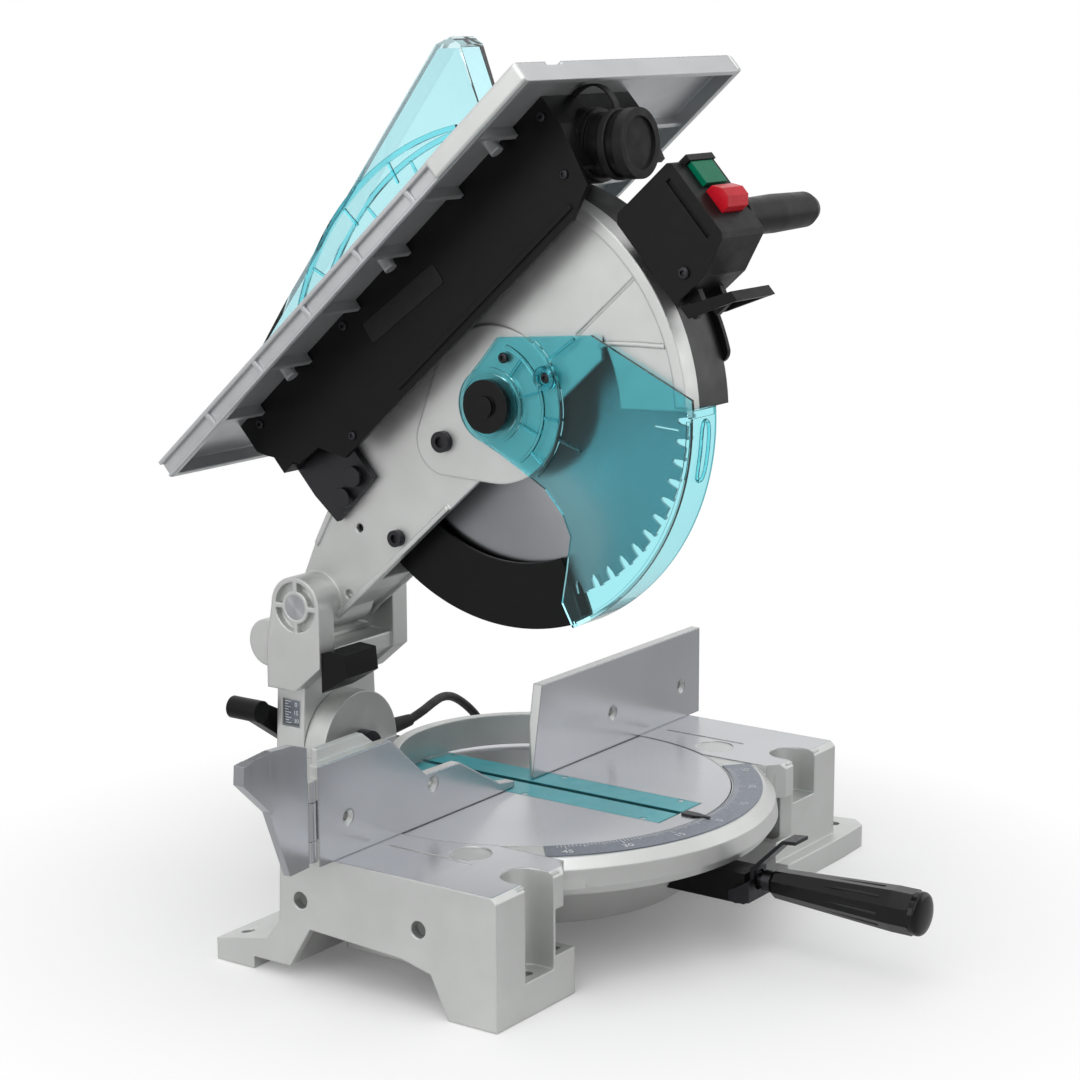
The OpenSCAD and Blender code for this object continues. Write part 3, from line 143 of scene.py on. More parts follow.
# The lower guard in mm: its outer face and rim; ribs as inner radius, outer radius and degree; the
# screw post as radius and height; the places of post and screw as radius and degree; and the finger
# slot's middle as degree and x, half length in degrees and half width.
GUARD_X, GUARD_R = -33, 174
RIB_PROUD, RIB_WIDE, RIB_OVERLAP = 1.8, 2, 0.6
GUARD_RIBS = [
    (28.5, 46, 170), (28.5, 46, 205), (28.5, 46, 245), (48.5, 62, 190),
    (48.5, 62, 228), (48.5, 62, 262), (65, 92, 186), (65, 84, 240),
]
GUARD_POST = [(9, -0.2), (9, 5.5), (8, 6.5), (6.2, 6.5), (5.6, 6), (5.6, 1.2)]
GUARD_POST_AT, GUARD_SCREW_AT = (56, 196), (38, 150)
SLOT_DEGREE, SLOT_X, SLOT_LONG, SLOT_HALF, SLOT_POINTS = 228.5, -17, 7.2, 5, 48

# The upper guard's ribs: the curved rib's outline as radius and x in mm, its degrees, and the
# short ribs' degrees, x, middle radius and size.
UPPER_RIB = ((203, 13.9), (207, 13.9), (207, 17), (203, 17))
UPPER_SPAN = range(58, 121, 2)
SHORT_RIBS, SHORT_X, SHORT_R, SHORT_SIZE = (68, 84, 100), 14.9, 194.6, (2, 17.4, 2)

# Trim on the head, in mm of the lowered head, as y and z where x has a name of its own: screws, the
# case's ridge, the cover's bare plate with its layers as x and scale, and the dust nozzle's place,
# clip as radius and height, and strap.
BOX_SCREW = (-45, -446, -26)
COVER_X = -55
COVER_SCREWS = ((-72, 126), (-140, 64), (-190, 130), (-420, 84), (-432, 126))
RIDGE_X, RIDGE = -27.6, ((-346, -16), (-353, -17.5), (-372, -33), (-390, -49))
PLATE_AT, PLATE_TILT = (-246, 107), math.radians(5.5)
PLATE_HALF, PLATE_CORNER = (39, 6), 2.5
PLATE_LAYERS = ((0.2, 1), (-0.7, 1), (-1, 0.985))
NOZZLE_AT, NOZZLE_TILT = (-15, -424, 104), math.radians(128)
CLIP = [(23.05, 27), (24.8, 27), (25.2, 28), (25.2, 32), (24.8, 33), (23.05, 33), (23.05, 27)]
STRAP = (
    (-436, 136.2), (-446, 135.8), (-455, 133.2), (-461.5, 127.6),
    (-464.8, 119), (-464.4, 110), (-461.4, 103.6),
)

# The middle of the grip's end, and its dome as radius and height, in mm.
GRIP_END = (0, -336, 57)
GRIP_DOME = [(15.6, -0.4), (15.6, 0.6), (14.8, 1.8), (12.6, 2.9), (9, 3.7), (4.5, 4.2), (1, 4.3)]

# The ridges on the wings, in mm: their x, their y and z, and their size.
WING_RIDGES, WING_RIDGE_AT, WING_RIDGE_SIZE = (-181, 183), (-46, 95), (1.6, 72, 1)

# The saw table in mm: its left and right sides, front end and length; its lips as width, height and
# level; its webs' outline as distance out and height, half width and spaces; and its corner blocks'
# size and place.
TABLE_SIDES, TABLE_END, TABLE_LONG = (-112, 162), -472, 456
LIPS = ((4, 3, 139.6), (2, 2.4, 127.4))
WEB = ((-0.2, 139), (3.6, 139), (1.4, 128), (-0.2, 128))
WEB_HALF, WEB_SPACES = 2, 7
BLOCK_SIZE, BLOCK_AT = (5, 104, 15.6), (2.1, 51, 134)

# A screw's head, as shares of its radius: radius, height and, in its socket, the count of flats.
SCREW = [(1, 0), (1, 0.35), (0.9, 0.5), (0.7, 0.58), (0.5, 0.6, 6), (0.48, 0.15, 6)]

# Pieces whose edges are rounded, with the radius in mm.
ROUNDED = {
    "switch_box": 2.5, "bump_stop": 1.5, "table_cover": 1.2,
    "start_button": 0.8, "stop_button": 0.8,
}

# The world: its level for light and as seen, and its fall-off along a direction for what shines.
WORLD_LIGHT, WORLD_SEEN = 0.38, 1.0
FALL_ALONG, FALL_FROM, FALL_LOW = (0.55, 0.8, 0.25), (-0.75, 0.35), 0.42

# The floor: radius, level, share of plain white near the saw, the distances between which it turns
# to white, and its white for what shines.
FLOOR_R, FLOOR_Z = 9, -0.0006
FLOOR_WHITE, FLOOR_FADE, FLOOR_SHINE = 0.1, (0.2, 0.5), 0.6

# The lamps: name, place, size and power, all aimed at one point.
LAMP_AIM = (0, 0, 0.25)
LAMPS = (
    ("key", (-1.5, -0.7, 2.1), (2.0, 2.0), 24),
    ("left", (-2.3, 0.5, 0.9), (1.6, 1.6), 13),
    ("top", (0.2, 0.2, 2.4), (2.6, 2.6), 19),
    ("right", (1.9, -1.6, 1.1), (1.4, 1.8), 7),
)


def on_head(x, y, z):
    """A point of the lowered head, given in mm, where it lies with the head up."""
    return HEAD @ (Vector((x, y, z)) * MM)


def round_blade(radius, degree, x):
    """A point of the lowered head by its place round the blade's centre, in mm."""
    angle = math.radians(degree)
    return on_head(x, BLADE_Y + radius * math.cos(angle), BLADE_Z + radius * math.sin(angle))


def smooth(t):
    """A step from 0 to 1 with soft ends."""
    t = min(max(t, 0), 1)
    return t * t * (3 - 2 * t)


def bulge(value, power):
    """A sine or cosine pushed outwards, so that a circle turns into a rounded square."""
    return math.copysign(abs(value) ** power, value)


# Materials


def join(tree, value, socket):
    """Feeds a socket with a number, a colour or another socket."""
    if hasattr(value, "is_output"):
        tree.links.new(value, socket)
    else:
        socket.default_value = value


def reckon(tree, operation, first, second):
    """The result of a Math node, from numbers or sockets."""
    made = tree.nodes.new("ShaderNodeMath")
    made.operation = operation
    join(tree, first, made.inputs[0])
    join(tree, second, made.inputs[1])
    return made.outputs[0]


class Shader:
    """A node material under construction."""

    def __init__(self, name):
        self.material = bpy.data.materials.new(name)
        self.material.use_nodes = True
        self.tree = self.material.node_tree
        self.base = self.tree.nodes["Principled BSDF"]
        self.soft = None

    def node(self, kind, **values):
        made = self.tree.nodes.new("ShaderNode" + kind)
        for name, value in values.items():
            setattr(made, name, value)
        return made

    def link(self, source, target):
        self.tree.links.new(source, target)

    def feed(self, name, source):
        """Links a socket to an input of the Principled BSDF."""
        self.link(source, self.base.inputs[name])

    def set(self, **values):
        for name, value in values.items():
            socket = self.base.inputs[name.replace("_", " ")]
            socket.default_value = value

    def coords(self, scale=(1, 1, 1), location=(0, 0, 0), rotation=(0, 0, 0)):
        place = self.node("Mapping")
        place.inputs["Location"].default_value = location
        place.inputs["Rotation"].default_value = rotation
        place.inputs["Scale"].default_value = scale
        self.link(self.node("TexCoord").outputs["Object"], place.inputs["Vector"])
        return place.outputs["Vector"]

    def split(self, vector=None):
        """The X, Y and Z of a vector, or of the object's coordinates."""
        made = self.node("SeparateXYZ")
        self.link(vector or self.coords(), made.inputs["Vector"])
        return made.outputs

    def noise(self, scale, detail=3, vector=None):
        made = self.node("TexNoise")
        made.inputs["Scale"].default_value = scale
        made.inputs["Detail"].default_value = detail
        self.link(vector or self.coords(), made.inputs["Vector"])
        return made.outputs["Fac"]

    def ramp(self, fac, low, high, start=0.3, end=0.7):
        made = self.node("MapRange")
        made.inputs["From Min"].default_value = start
        made.inputs["From Max"].default_value = end
        made.inputs["To Min"].default_value = low
        made.inputs["To Max"].default_value = high
        self.link(fac, made.inputs["Value"])
        return made.outputs["Result"]

    def blend(self, fac, first, second):
        """A colour between two others, each three numbers or a socket."""
        made = self.node("Mix", data_type="RGBA")
        self.link(fac, made.inputs["Factor"])
        for socket, value in ((made.inputs[6], first), (made.inputs[7], second)):
            join(self.tree, value if hasattr(value, "is_output") else (*value, 1), socket)
        return made.outputs[2]

    def mix(self, fac, low, high):
        """A value between two others, each a number or a socket."""
        made = self.node("Mix", data_type="FLOAT")
        self.link(fac, made.inputs["Factor"])
        join(self.tree, low, made.inputs[2])
        join(self.tree, high, made.inputs[3])
        return made.outputs[0]

    def times(self, first, second):
        return reckon(self.tree, "MULTIPLY", first, second)

    def beyond(self, axis, start, end, vector=None):
        """0 before start on an axis, 1 past end."""
        return self.ramp(self.split(vector)[axis], 0, 1, start, end)

    def before(self, axis, start, end):
        """1 before start on an axis, 0 past end."""
        return self.ramp(self.beyond(axis, start, end), 1, 0, 0, 1)

    def soften(self, radius):
        """The normal with edges rounded off, made once for a material."""
        if self.soft is None:
            made = self.node("Bevel", samples=4)
            made.inputs["Radius"].default_value = radius
            self.soft = made.outputs["Normal"]
        return self.soft

    def edges(self, radius):
        """0 on the faces, up to 1 in patches along edges: where wear and a painted highlight go."""
        near = self.node("VectorMath", operation="DOT_PRODUCT")
        self.link(self.soften(radius), near.inputs[0])
        self.link(self.node("NewGeometry").outputs["Normal"], near.inputs[1])
        sharp = self.ramp(near.outputs["Value"], 1, 0, *WEAR_AND_HIGHLIGHT_EDGE)
        return self.times(sharp, self.ramp(self.noise(70, 4), 0.15, 1))

    def bump(self, height, distance, strength=1.0, edge=0.0):
        """Fine relief over edges rounded by a Bevel node."""
        made = self.node("Bump")
        made.inputs["Distance"].default_value = distance
        made.inputs["Strength"].default_value = strength
        self.link(height, made.inputs["Height"])
        if edge:
            self.link(self.soften(edge), made.inputs["Normal"])
        self.feed("Normal", made.outputs["Normal"])

    def drift(self, colour, amount, scale):
        """Colour that drifts a little over the surface."""
        dark = tuple(c * (1 - amount) for c in colour)
        pale = tuple(min(1, c * (1 + amount)) for c in colour)
        return self.blend(self.ramp(self.noise(scale, 4), 0, 1), dark, pale)

    def worn(self, colour, radius, amount=0.05, scale=18, paler=1.25, lift=0.0):
        """Colour that drifts a little, and is paler along the edges: partly wear, partly a painted
        highlight.
        """
        # The paler edge colour: partly wear, partly a painted highlight.
        rubbed_and_highlit = tuple(min(1, c * paler + lift) for c in colour)
        return self.blend(self.edges(radius), self.drift(colour, amount, scale), rubbed_and_highlit)

    def tint(self, colour, amount, scale):
        self.feed("Base Color", self.drift(colour, amount, scale))

    def rough(self, low, high, fac):
        self.feed("Roughness", self.ramp(fac, low, high))

    def brushed(self, axis, amount):
        """Gloss drawn out by marks that run round an axis."""
        self.set(Anisotropic=amount)
        around = self.node("Tangent", direction_type="RADIAL", axis=axis)
        self.feed("Tangent", around.outputs["Tangent"])


def cast_grain(m):
    """The fine grain of paint over a casting."""
    m.rough(*CAST_ROUGH, m.noise(60, 4))
    m.bump(m.noise(1500, 2), 0.00006, 0.55, CAST_EDGE)


def cast_paint(name):
    """Silver paint with a fine grain over a casting, paler along its edges: paint wearing thin, and
    a painted highlight.
    """
    m = Shader(name)
    m.feed("Base Color", m.worn(PAINT, CAST_EDGE))
    m.set(Metallic=CAST_METAL, IOR=1.5)
    cast_grain(m)
    return m.material


def machined(
    name, bare, face, marks, rough, colour=PAINT, metal=CAST_METAL, grain=CAST_ROUGH, around=None
):
    """A casting with bare machined faces: face(m) is 1 on them, marks(m) are the cutter's marks."""
    m = Shader(name)
    where, cut = face(m), marks(m)
    # The painted parts are paler along their edges: wear, and a painted highlight.
    m.feed("Base Color", m.blend(where, m.worn(colour, CUT_EDGE), m.drift(bare, 0.07, 7)))
    m.feed("Metallic", m.mix(where, metal, 1.0))
    m.feed("Roughness", m.mix(where, m.ramp(m.noise(60, 4), *grain), m.ramp(cut, *rough)))
    m.bump(m.mix(where, m.noise(1500, 2), m.ramp(cut, 0.45, 0.55)), 0.00005, 0.5, CUT_EDGE)
    if around:
        m.brushed(around, BRUSHED)
    return m.material


def case_paint():
    """The blade case: silver paint, with a black strip round the right part of its rim."""
    m = Shader("silver_case")
    inside = m.split(m.coords(**HEAD_COORDS))
    flat = m.node("CombineXYZ")
    for axis in "YZ":
        m.link(inside[axis], flat.inputs[axis])
    reach = m.node("VectorMath", operation="DISTANCE")
    reach.inputs[1].default_value = (0, BLADE_Y * MM, BLADE_Z * MM)
    m.link(flat.outputs["Vector"], reach.inputs[0])
    rim = m.ramp(reach.outputs["Value"], 0, 1, *STRIP_OUT)
    right = m.times(rim, m.ramp(inside["X"], 0, 1, *STRIP_RIGHT))
    strip = m.times(right, m.ramp(inside["Y"], 1, 0, *STRIP_FRONT))
    # The paint is paler along its edges: partly wear, partly a painted highlight.
    m.feed("Base Color", m.blend(strip, m.worn(PAINT, CAST_EDGE), BLACK))
    m.feed("Metallic", m.mix(strip, CAST_METAL, 0.0))
    cast_grain(m)
    return m.material


def streaks(stretch, rotation=(0, 0, 0)):
    """Straight cutter marks: stretch holds their scale along each axis."""
    return lambda m: m.noise(1, 2, m.coords(stretch, rotation=rotation))


def rings(axis, centre, scale):
    """Circular cutter marks about an axis."""

    def marks(m):
        wave = m.node("TexWave", wave_type="RINGS", rings_direction=axis)
        wave.inputs["Scale"].default_value = scale
        wave.inputs["Distortion"].default_value = 1.6
        wave.inputs["Detail"].default_value = 2
        m.link(m.coords(location=tuple(-c for c in centre)), wave.inputs["Vector"])
        return wave.outputs["Fac"]

    return marks


def milled(name, colour, low, high, stretch):
    """Bright metal with straight cutter marks."""
    m = Shader(name)
    marks = streaks(stretch)(m)
    m.tint(colour, 0.06, 9)
    m.set(Metallic=1.0)
    m.rough(low, high, marks)
    m.bump(marks, 0.000008, 0.4, MILLED_EDGE)
    return m.material


def turned(name, colour, low, high, axis, centre):
    """Bright metal with circular marks about an axis."""
    m = Shader(name)
    marks = rings(axis, centre, 700)(m)
    m.tint(colour, 0.05, 14)
    m.set(Metallic=1.0)
    m.brushed(axis, BRUSHED)
    m.rough(low, high, marks)
    m.bump(marks, 0.000004, 0.4, TURNED_EDGE)
    return m.material


def moulded(name, colour, low, high, grain=2200, relief=0.00005, coat=0.0, shine=0.3):
    """Moulded plastic with a fine sparked grain, paler along its edges: wear, and a painted
    highlight.
    """
    m = Shader(name)
    m.feed("Base Color", m.worn(colour, MOULD_EDGE, 0.1, 25, 1.3, 0.012))
    m.set(IOR=1.5, Specular_IOR_Level=shine, Coat_Weight=coat, Coat_Roughness=0.06)
    m.rough(low, high, m.noise(90, 4))
    m.bump(m.noise(grain, 2), relief, 0.6, MOULD_EDGE)
    return m.material


def clear(name, colour, rough):
    """Tinted clear plastic with faint scuffs."""
    m = Shader(name)
    m.tint(colour, 0.03, 8)
    m.set(IOR=1.42, Transmission_Weight=1.0)
    m.rough(rough, rough + 0.06, m.noise(40, 3))
    m.bump(m.noise(260, 2), 0.00002, 0.3)
    return m.material


def plug_material():
    """Black plug whose two pins are bright: the pins reach past the plug's face."""
    m = Shader("plug_rubber")
    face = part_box("plug")[1].x - PLUG_PINS * MM
    pins = m.beyond("X", face, face + 0.0002)
    m.feed("Base Color", m.blend(pins, BLACK, (0.75, 0.7, 0.55)))
    m.feed("Metallic", pins)
    m.rough(0.35, 0.55, m.noise(120, 3))
    m.bump(m.noise(1800, 2), 0.00004, 0.5, MOULD_EDGE)
    return m.material


def on_top(m):
    """The milled tops of the base's wings."""
    return m.beyond("Z", *WING_TOP)


def on_plate(m):
    """The turned top of the turntable, up to what stands on it."""
    return m.times(m.beyond("Z", *TURNED_TOP), m.before("Z", *TURNED_END))


def on_front(m):
    """The milled front of the fence."""
    return m.before("Y", *FENCE_FRONT)


def on_table(m):
    """The milled top of the saw table."""
    return m.beyond("Z", *TABLE_TOP, m.coords(**HEAD_COORDS))


def make_materials():
    blade = on_head(0, BLADE_Y, BLADE_Z)
    along, across = streaks((4, 1600, 1600)), streaks((1400, 4, 1400), (SWING, 0, 0))
    circles = rings("Z", (0, 0, 0), 600)
    # The saw table's top is darker than the other milled metal to take down its glare, and its cast
    # underside paler to lift it out of the shade under the table: painted shade and painted light.
    top, edge = (0.4, 0.41, 0.43), (0.52, 0.53, 0.54)
    ink, jet, soot = (0.006, 0.006, 0.0065), (0.004, 0.004, 0.0045), (0.008, 0.008, 0.008)
    return {
        "casting": cast_paint("silver_casting"),
        "case": case_paint(),
        "base": machined("milled_base", BRIGHT, on_top, along, (0.2, 0.27)),
        "turntable": machined(
            "turned_aluminium", BRIGHT, on_plate, circles, (0.2, 0.28), around="Z"
        ),
        "fence": machined("milled_fence", DULL, on_front, along, (0.2, 0.27)),
        "leaf": milled("milled_leaf", DULL, 0.2, 0.27, (1600, 1600, 4)),
        "table": machined(
            "milled_table", top, on_table, across, (0.32, 0.42), edge, 0.7, (0.28, 0.42)
        ),
        "scale": milled("scale_plate", (0.22, 0.24, 0.28), 0.35, 0.5, (500, 500, 500)),
        "blade": turned("blade_steel", (0.35, 0.36, 0.38), 0.28, 0.34, "X", blade),
        "pin": turned("turned_pin", BRIGHT, 0.22, 0.3, "X", PIVOT),
        "knife": milled("ground_knife", DULL, 0.24, 0.36, (1400, 4, 1400)),
        "steel": milled("ground_steel", BRIGHT, 0.22, 0.36, (30, 700, 700)),
        "dark_steel": milled("blackened_steel", (0.045, 0.045, 0.05), 0.34, 0.5, (300, 300, 300)),
        "black": moulded("black_plastic", ink, 0.3, 0.44, shine=0.14),
        "gloss_black": moulded("gloss_black_plastic", jet, 0.16, 0.26, 900, 0.00002, 0.2, 0.16),
        "rubber": moulded("black_rubber", soot, 0.5, 0.65, 1500, 0.00008, shine=0.25),
        "teal": moulded("teal_plastic", (0.04, 0.37, 0.42), 0.28, 0.4, 1500, 0.00004, 0.2),
        "clear_teal": clear("clear_teal_plastic", (0.38, 0.86, 0.92), 0.02),
        "pale_teal": clear("pale_teal_plastic", (0.72, 0.95, 0.98), 0.03),
        "green": moulded("green_button", (0.0, 0.16, 0.08), 0.22, 0.34, 1500, 0.00003, shine=0.14),
        "red": moulded("red_button", (0.55, 0.008, 0.02), 0.22, 0.34, 1500, 0.00003, shine=0.14),
        "copper": milled("wound_copper", (0.45, 0.2, 0.09), 0.3, 0.5, (400, 60, 60)),
        "white": moulded("white_print", (0.8, 0.82, 0.84), 0.4, 0.5),
    }


FINISHES = {
    "casting": "bevel_arm centre_cover",
    "case": "blade_case",
    "base": "base_casting",
    "turntable": "turntable",
    "fence": "guide_fence",
    "leaf": "fence_leaf",
    "table": "saw_table",
    "scale": "mitre_scale",
    "blade": "saw_blade",
    "steel": "kerf_screws blade_flanges spindle bearings",
    "pin": "pivot_pin",
    "knife": "riving_knife",
    "dark_steel": "fence_bolts mitre_pivot_bolt bevel_bolt case_bolts arbor_bolt table_bracket"
    " grip_rod lock_lever stator mitre_pointer",
    "black": "grip_bracket bump_stop bevel_lever stop_pin motor_end_cap brush_caps switch_box"
    " handle rear_guard table_insert table_cover dust_nozzle release_lever shaft_lock case_skirt",
    "gloss_black": "grip guard_hub_cap",
    "rubber": "cord_gland nozzle_cap",
    "teal": "kerf_board_left kerf_board_right motor_housing gear_housing",
    "clear_teal": "lower_guard",
    "pale_teal": "upper_guard",
    "green": "start_button",
    "red": "stop_button",
    "copper": "armature",
}


def paint(obj, material):
    obj.data.materials.clear()
    obj.data.materials.append(material)


# Pieces


def round_edges(obj, width, segments=3):
    rounded = obj.modifiers.new("round", "BEVEL")
    rounded.width = width
    rounded.segments = segments


def add_object(name, data, material, body):
    """A piece of the saw that rides on a body."""
    obj = bpy.data.objects.new(name, data)
    bpy.context.scene.collection.objects.link(obj)
    paint(obj, material)
    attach(obj, body)
    return obj


def make_mesh(name, bm):
    mesh = bpy.data.meshes.new(name)
    bm.to_mesh(mesh)
    bm.free()
    return mesh


def add_mesh(name, bm, material, body):
    return add_object(name, make_mesh(name, bm), material, body)


def add_solid(name, bm, material, body):
    """A piece of closed forms, with their faces turned outwards."""
    bmesh.ops.recalc_face_normals(bm, faces=bm.faces)
    return add_mesh(name, bm, material, body)


def add_wire(name, points, radius, material, body, cyclic=False):
    """A round wire or lead along points, in metres."""
    curve = bpy.data.curves.new(name, "CURVE")
    curve.dimensions = "3D"
    curve.bevel_depth = radius
    curve.bevel_resolution = 5
    curve.use_fill_caps = not cyclic
    spline = curve.splines.new("POLY")
    spline.points.add(len(points) - 1)
    spline.use_cyclic_u = cyclic
    for place, point in zip(spline.points, points):
        place.co = (*point, 1)
    return add_object(name, curve, material, body)


def add_bar(bm, size, matrix):
    """A small box in a mesh under construction, with its size in metres."""
    bmesh.ops.create_cube(bm, size=1, matrix=matrix @ Matrix.Diagonal((*size, 1)))


def add_block(bm, size, at, frame):
    """A small box in a mesh under construction, with its size and its place in a frame in mm."""
    add_bar(bm, Vector(size) * MM, frame @ Matrix.Translation(Vector(at) * MM))


def add_spoke(bm, size, x, radius, degree):
    """A bar that points away from the blade's centre, in mm of the lowered head."""
    turn = Matrix.Rotation(math.radians(degree), 4, "X")
    centre = Matrix.Translation(Vector((x, BLADE_Y, BLADE_Z)) * MM)
    add_block(bm, size, (0, radius, 0), HEAD @ centre @ turn)


def add_number(bm, text, height, matrix):
    """A printed number, as a thin mesh."""
    curve = bpy.data.curves.new("number", "FONT")
    curve.body = text
    curve.size = height
    curve.extrude = 0.00005
    curve.align_x = "CENTER"
    curve.align_y = "CENTER"
    holder = bpy.data.objects.new("number", curve)
    bpy.context.scene.collection.objects.link(holder)
    graph = bpy.context.evaluated_depsgraph_get()
    mesh = bpy.data.meshes.new_from_object(holder.evaluated_get(graph))
    mesh.transform(matrix)
    bm.from_mesh(mesh)
    bpy.data.objects.remove(holder)
    bpy.data.meshes.remove(mesh)


def skin(bm, loops, ends=True):
    """Walls between loops of as many points each, and the two ends."""
    count = len(loops[0])
    for low, high in zip(loops, loops[1:]):
        for i in range(count):
            k = (i + 1) % count
            bm.faces.new((low[i], low[k], high[k], high[i]))
    if ends:
        bm.faces.new(loops[0][::-1])
        bm.faces.new(loops[-1])


def lathe(bm, profile, matrix, segments=36, ends=True):
    """A turned form about Z from radius and height in mm, and a count of flats where it has any."""
    loops = []
    for radius, height, *flats in profile:
        loop = []
        part = math.pi / flats[0] if flats else 0
        for i in range(segments):
            angle = math.tau * i / segments
            reach = math.cos(part) / math.cos(angle % (2 * part) - part) if flats else 1
            out = radius * reach
            at = Vector((out * math.cos(angle), out * math.sin(angle), height)) * MM
            loop.append(bm.verts.new(matrix @ at))
        loops.append(loop)
    skin(bm, loops, ends)


def facing(at, normal):
    """A place on a surface, with Z along its normal: at in metres."""
    return Matrix.Translation(at) @ Vector(normal).to_track_quat("Z", "Y").to_matrix().to_4x4()


def add_screws(name, places, radius, material, body):
    """Domed screws with a hexagon socket."""
    profile = [(out * radius, up * radius, *flats) for out, up, *flats in SCREW]
    bm = bmesh.new()
    for place in places:
        lathe(bm, profile, place)
    return add_solid(name, bm, material, body)


def add_band(name, points, across, thick, material, body):
    """A flat strap along points, in metres: across is half its width."""
    bm = bmesh.new()
    rows = []
    for before, at, after in zip([points[0], *points], points, [*points[1:], points[-1]]):
        out = across.cross(after - before).normalized() * thick / 2
        corners = ((-across, -out), (across, -out), (across, out), (-across, out))
        rows.append([bm.verts.new(at + a + b) for a, b in corners])
    skin(bm, rows)
    obj = add_solid(name, bm, material, body)
    round_edges(obj, thick * 0.3, 2)
    return obj


def spread(points, step=0.004):
    """A smooth line through points, with a point about every step."""
    ends = [points[0] * 2 - points[1], *points, points[-1] * 2 - points[-2]]
    line = []
    for a, b, c, d in zip(ends, ends[1:], ends[2:], ends[3:]):
        count = max(2, round((c - b).length / step))
        second, third = 2 * a - 5 * b + 4 * c - d, 3 * b - a - 3 * c + d
        for i in range(count):
            t = i / count
            line.append(0.5 * (2 * b + (c - a) * t + second * t**2 + third * t**3))
    return [*line, points[-1]]


def coil_points():
    """The stored length: out to in on the floor, then in to out on top."""
    for i in range(int(COIL_POINTS * 2 * COIL_TURNS) + 1):
        s = i / COIL_POINTS
        radius = COIL_OUT - COIL_STEP * (s if s < COIL_TURNS else 2 * COIL_TURNS - s)
        second_layer = smooth((s - COIL_TURNS + COIL_CLIMB / 2) / COIL_CLIMB)
        end = smooth((s - 2 * COIL_TURNS + COIL_END) / COIL_END)
        rise = COIL_RISE * second_layer + COIL_END_RISE * end
        angle = math.radians(90 - 360 * s)
        yield Vector(COIL_AT) + Vector((radius * math.cos(angle), radius * math.sin(angle), rise))


def add_cord(frame, materials):
    route = spread([Vector(p) * MM for p in CORD_ROUTE])
    coil = [p * MM for p in coil_points()]
    line = route[:-1] + coil
    length = sum((b - a).length for a, b in zip(line, line[1:]))
    lead = add_wire("mains_lead", line, CORD_D / 2, materials["rubber"], "turntable")
    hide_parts("cord_run", "cord_coil")
    tie = add_tie(materials)
    paint(frame["nodes"]["plug"], plug_material())
    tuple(line[0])


def add_tie(materials):
    """The strap that holds the coil's turns together on the side away from the saw."""
    inner, outer = COIL_OUT - COIL_STEP * COIL_TURNS - TIE_ROOM, COIL_OUT + TIE_ROOM
    low, high = TIE_LEVELS
    middle, half = (inner + outer) / 2, (outer - inner) / 2
    level, lift = (low + high) / 2, (high - low) / 2
    bm = bmesh.new()
    hoops = []
    for i in range(TIE_POINTS):
        angle = math.tau * i / TIE_POINTS
        out, up = half * bulge(math.cos(angle), 0.5), lift * bulge(math.sin(angle), 0.5)
        outside = (middle + out, level + up)
        inside = (middle + out * TIE_INSIDE[0], level + up * TIE_INSIDE[1])
        sides = ((outside, -1), (outside, 1), (inside, 1), (inside, -1))
        corners = [(COIL_AT[0] + x, COIL_AT[1] + side * TIE_HALF, z) for (x, z), side in sides]
        hoops.append([bm.verts.new(Vector(corner) * MM) for corner in corners])
    skin(bm, hoops + hoops[:1], ends=False)
    tie = add_solid("coil_tie", bm, materials["black"], "turntable")
    return tie


def add_spring(materials):
    points = []
    for i in range(SPRING_POINTS * SPRING_TURNS + 1):
        turns = i / SPRING_POINTS
        angle = math.tau * turns
        across = SPRING_R * Vector((0, math.cos(angle), math.sin(angle)))
        points.append(PIVOT + MM * (Vector((SPRING_X + SPRING_PITCH * turns, 0, 0)) + across))
    wire = SPRING_WIRE / 2 * MM
    spring = add_wire("hinge_spring", points, wire, materials["steel"], "bevel_arm")
    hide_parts("return_spring")


def add_mitre_marks(materials):
    """White lines and numbers of the mitre scale."""
    bm = bmesh.new()
    for degree in range(-47, 48):
        long = SHORT_MARK
        if degree % 5 == 0:
            long = LONG_MARK if degree % 15 == 0 else MIDDLE_MARK
        turn = Matrix.Rotation(math.radians(degree), 4, "Z")
        at = Vector((0, -SCALE_IN - long * MM / 2, SCALE_TOP + MARK_THICK / 2))
        add_bar(bm, (MARK_WIDE, long * MM, MARK_THICK), turn @ Matrix.Translation(at))
    for degree in range(-45, 46, 15):
        turn = Matrix.Rotation(math.radians(degree), 4, "Z")
        at = Matrix.Translation((0, -SCALE_NUMBERS, SCALE_TOP + NUMBER_LIFT))
        add_number(bm, str(abs(degree)), NUMBER_HIGH, turn @ at)
    marks = add_mesh("mitre_scale_marks", bm, materials["white"], "base")


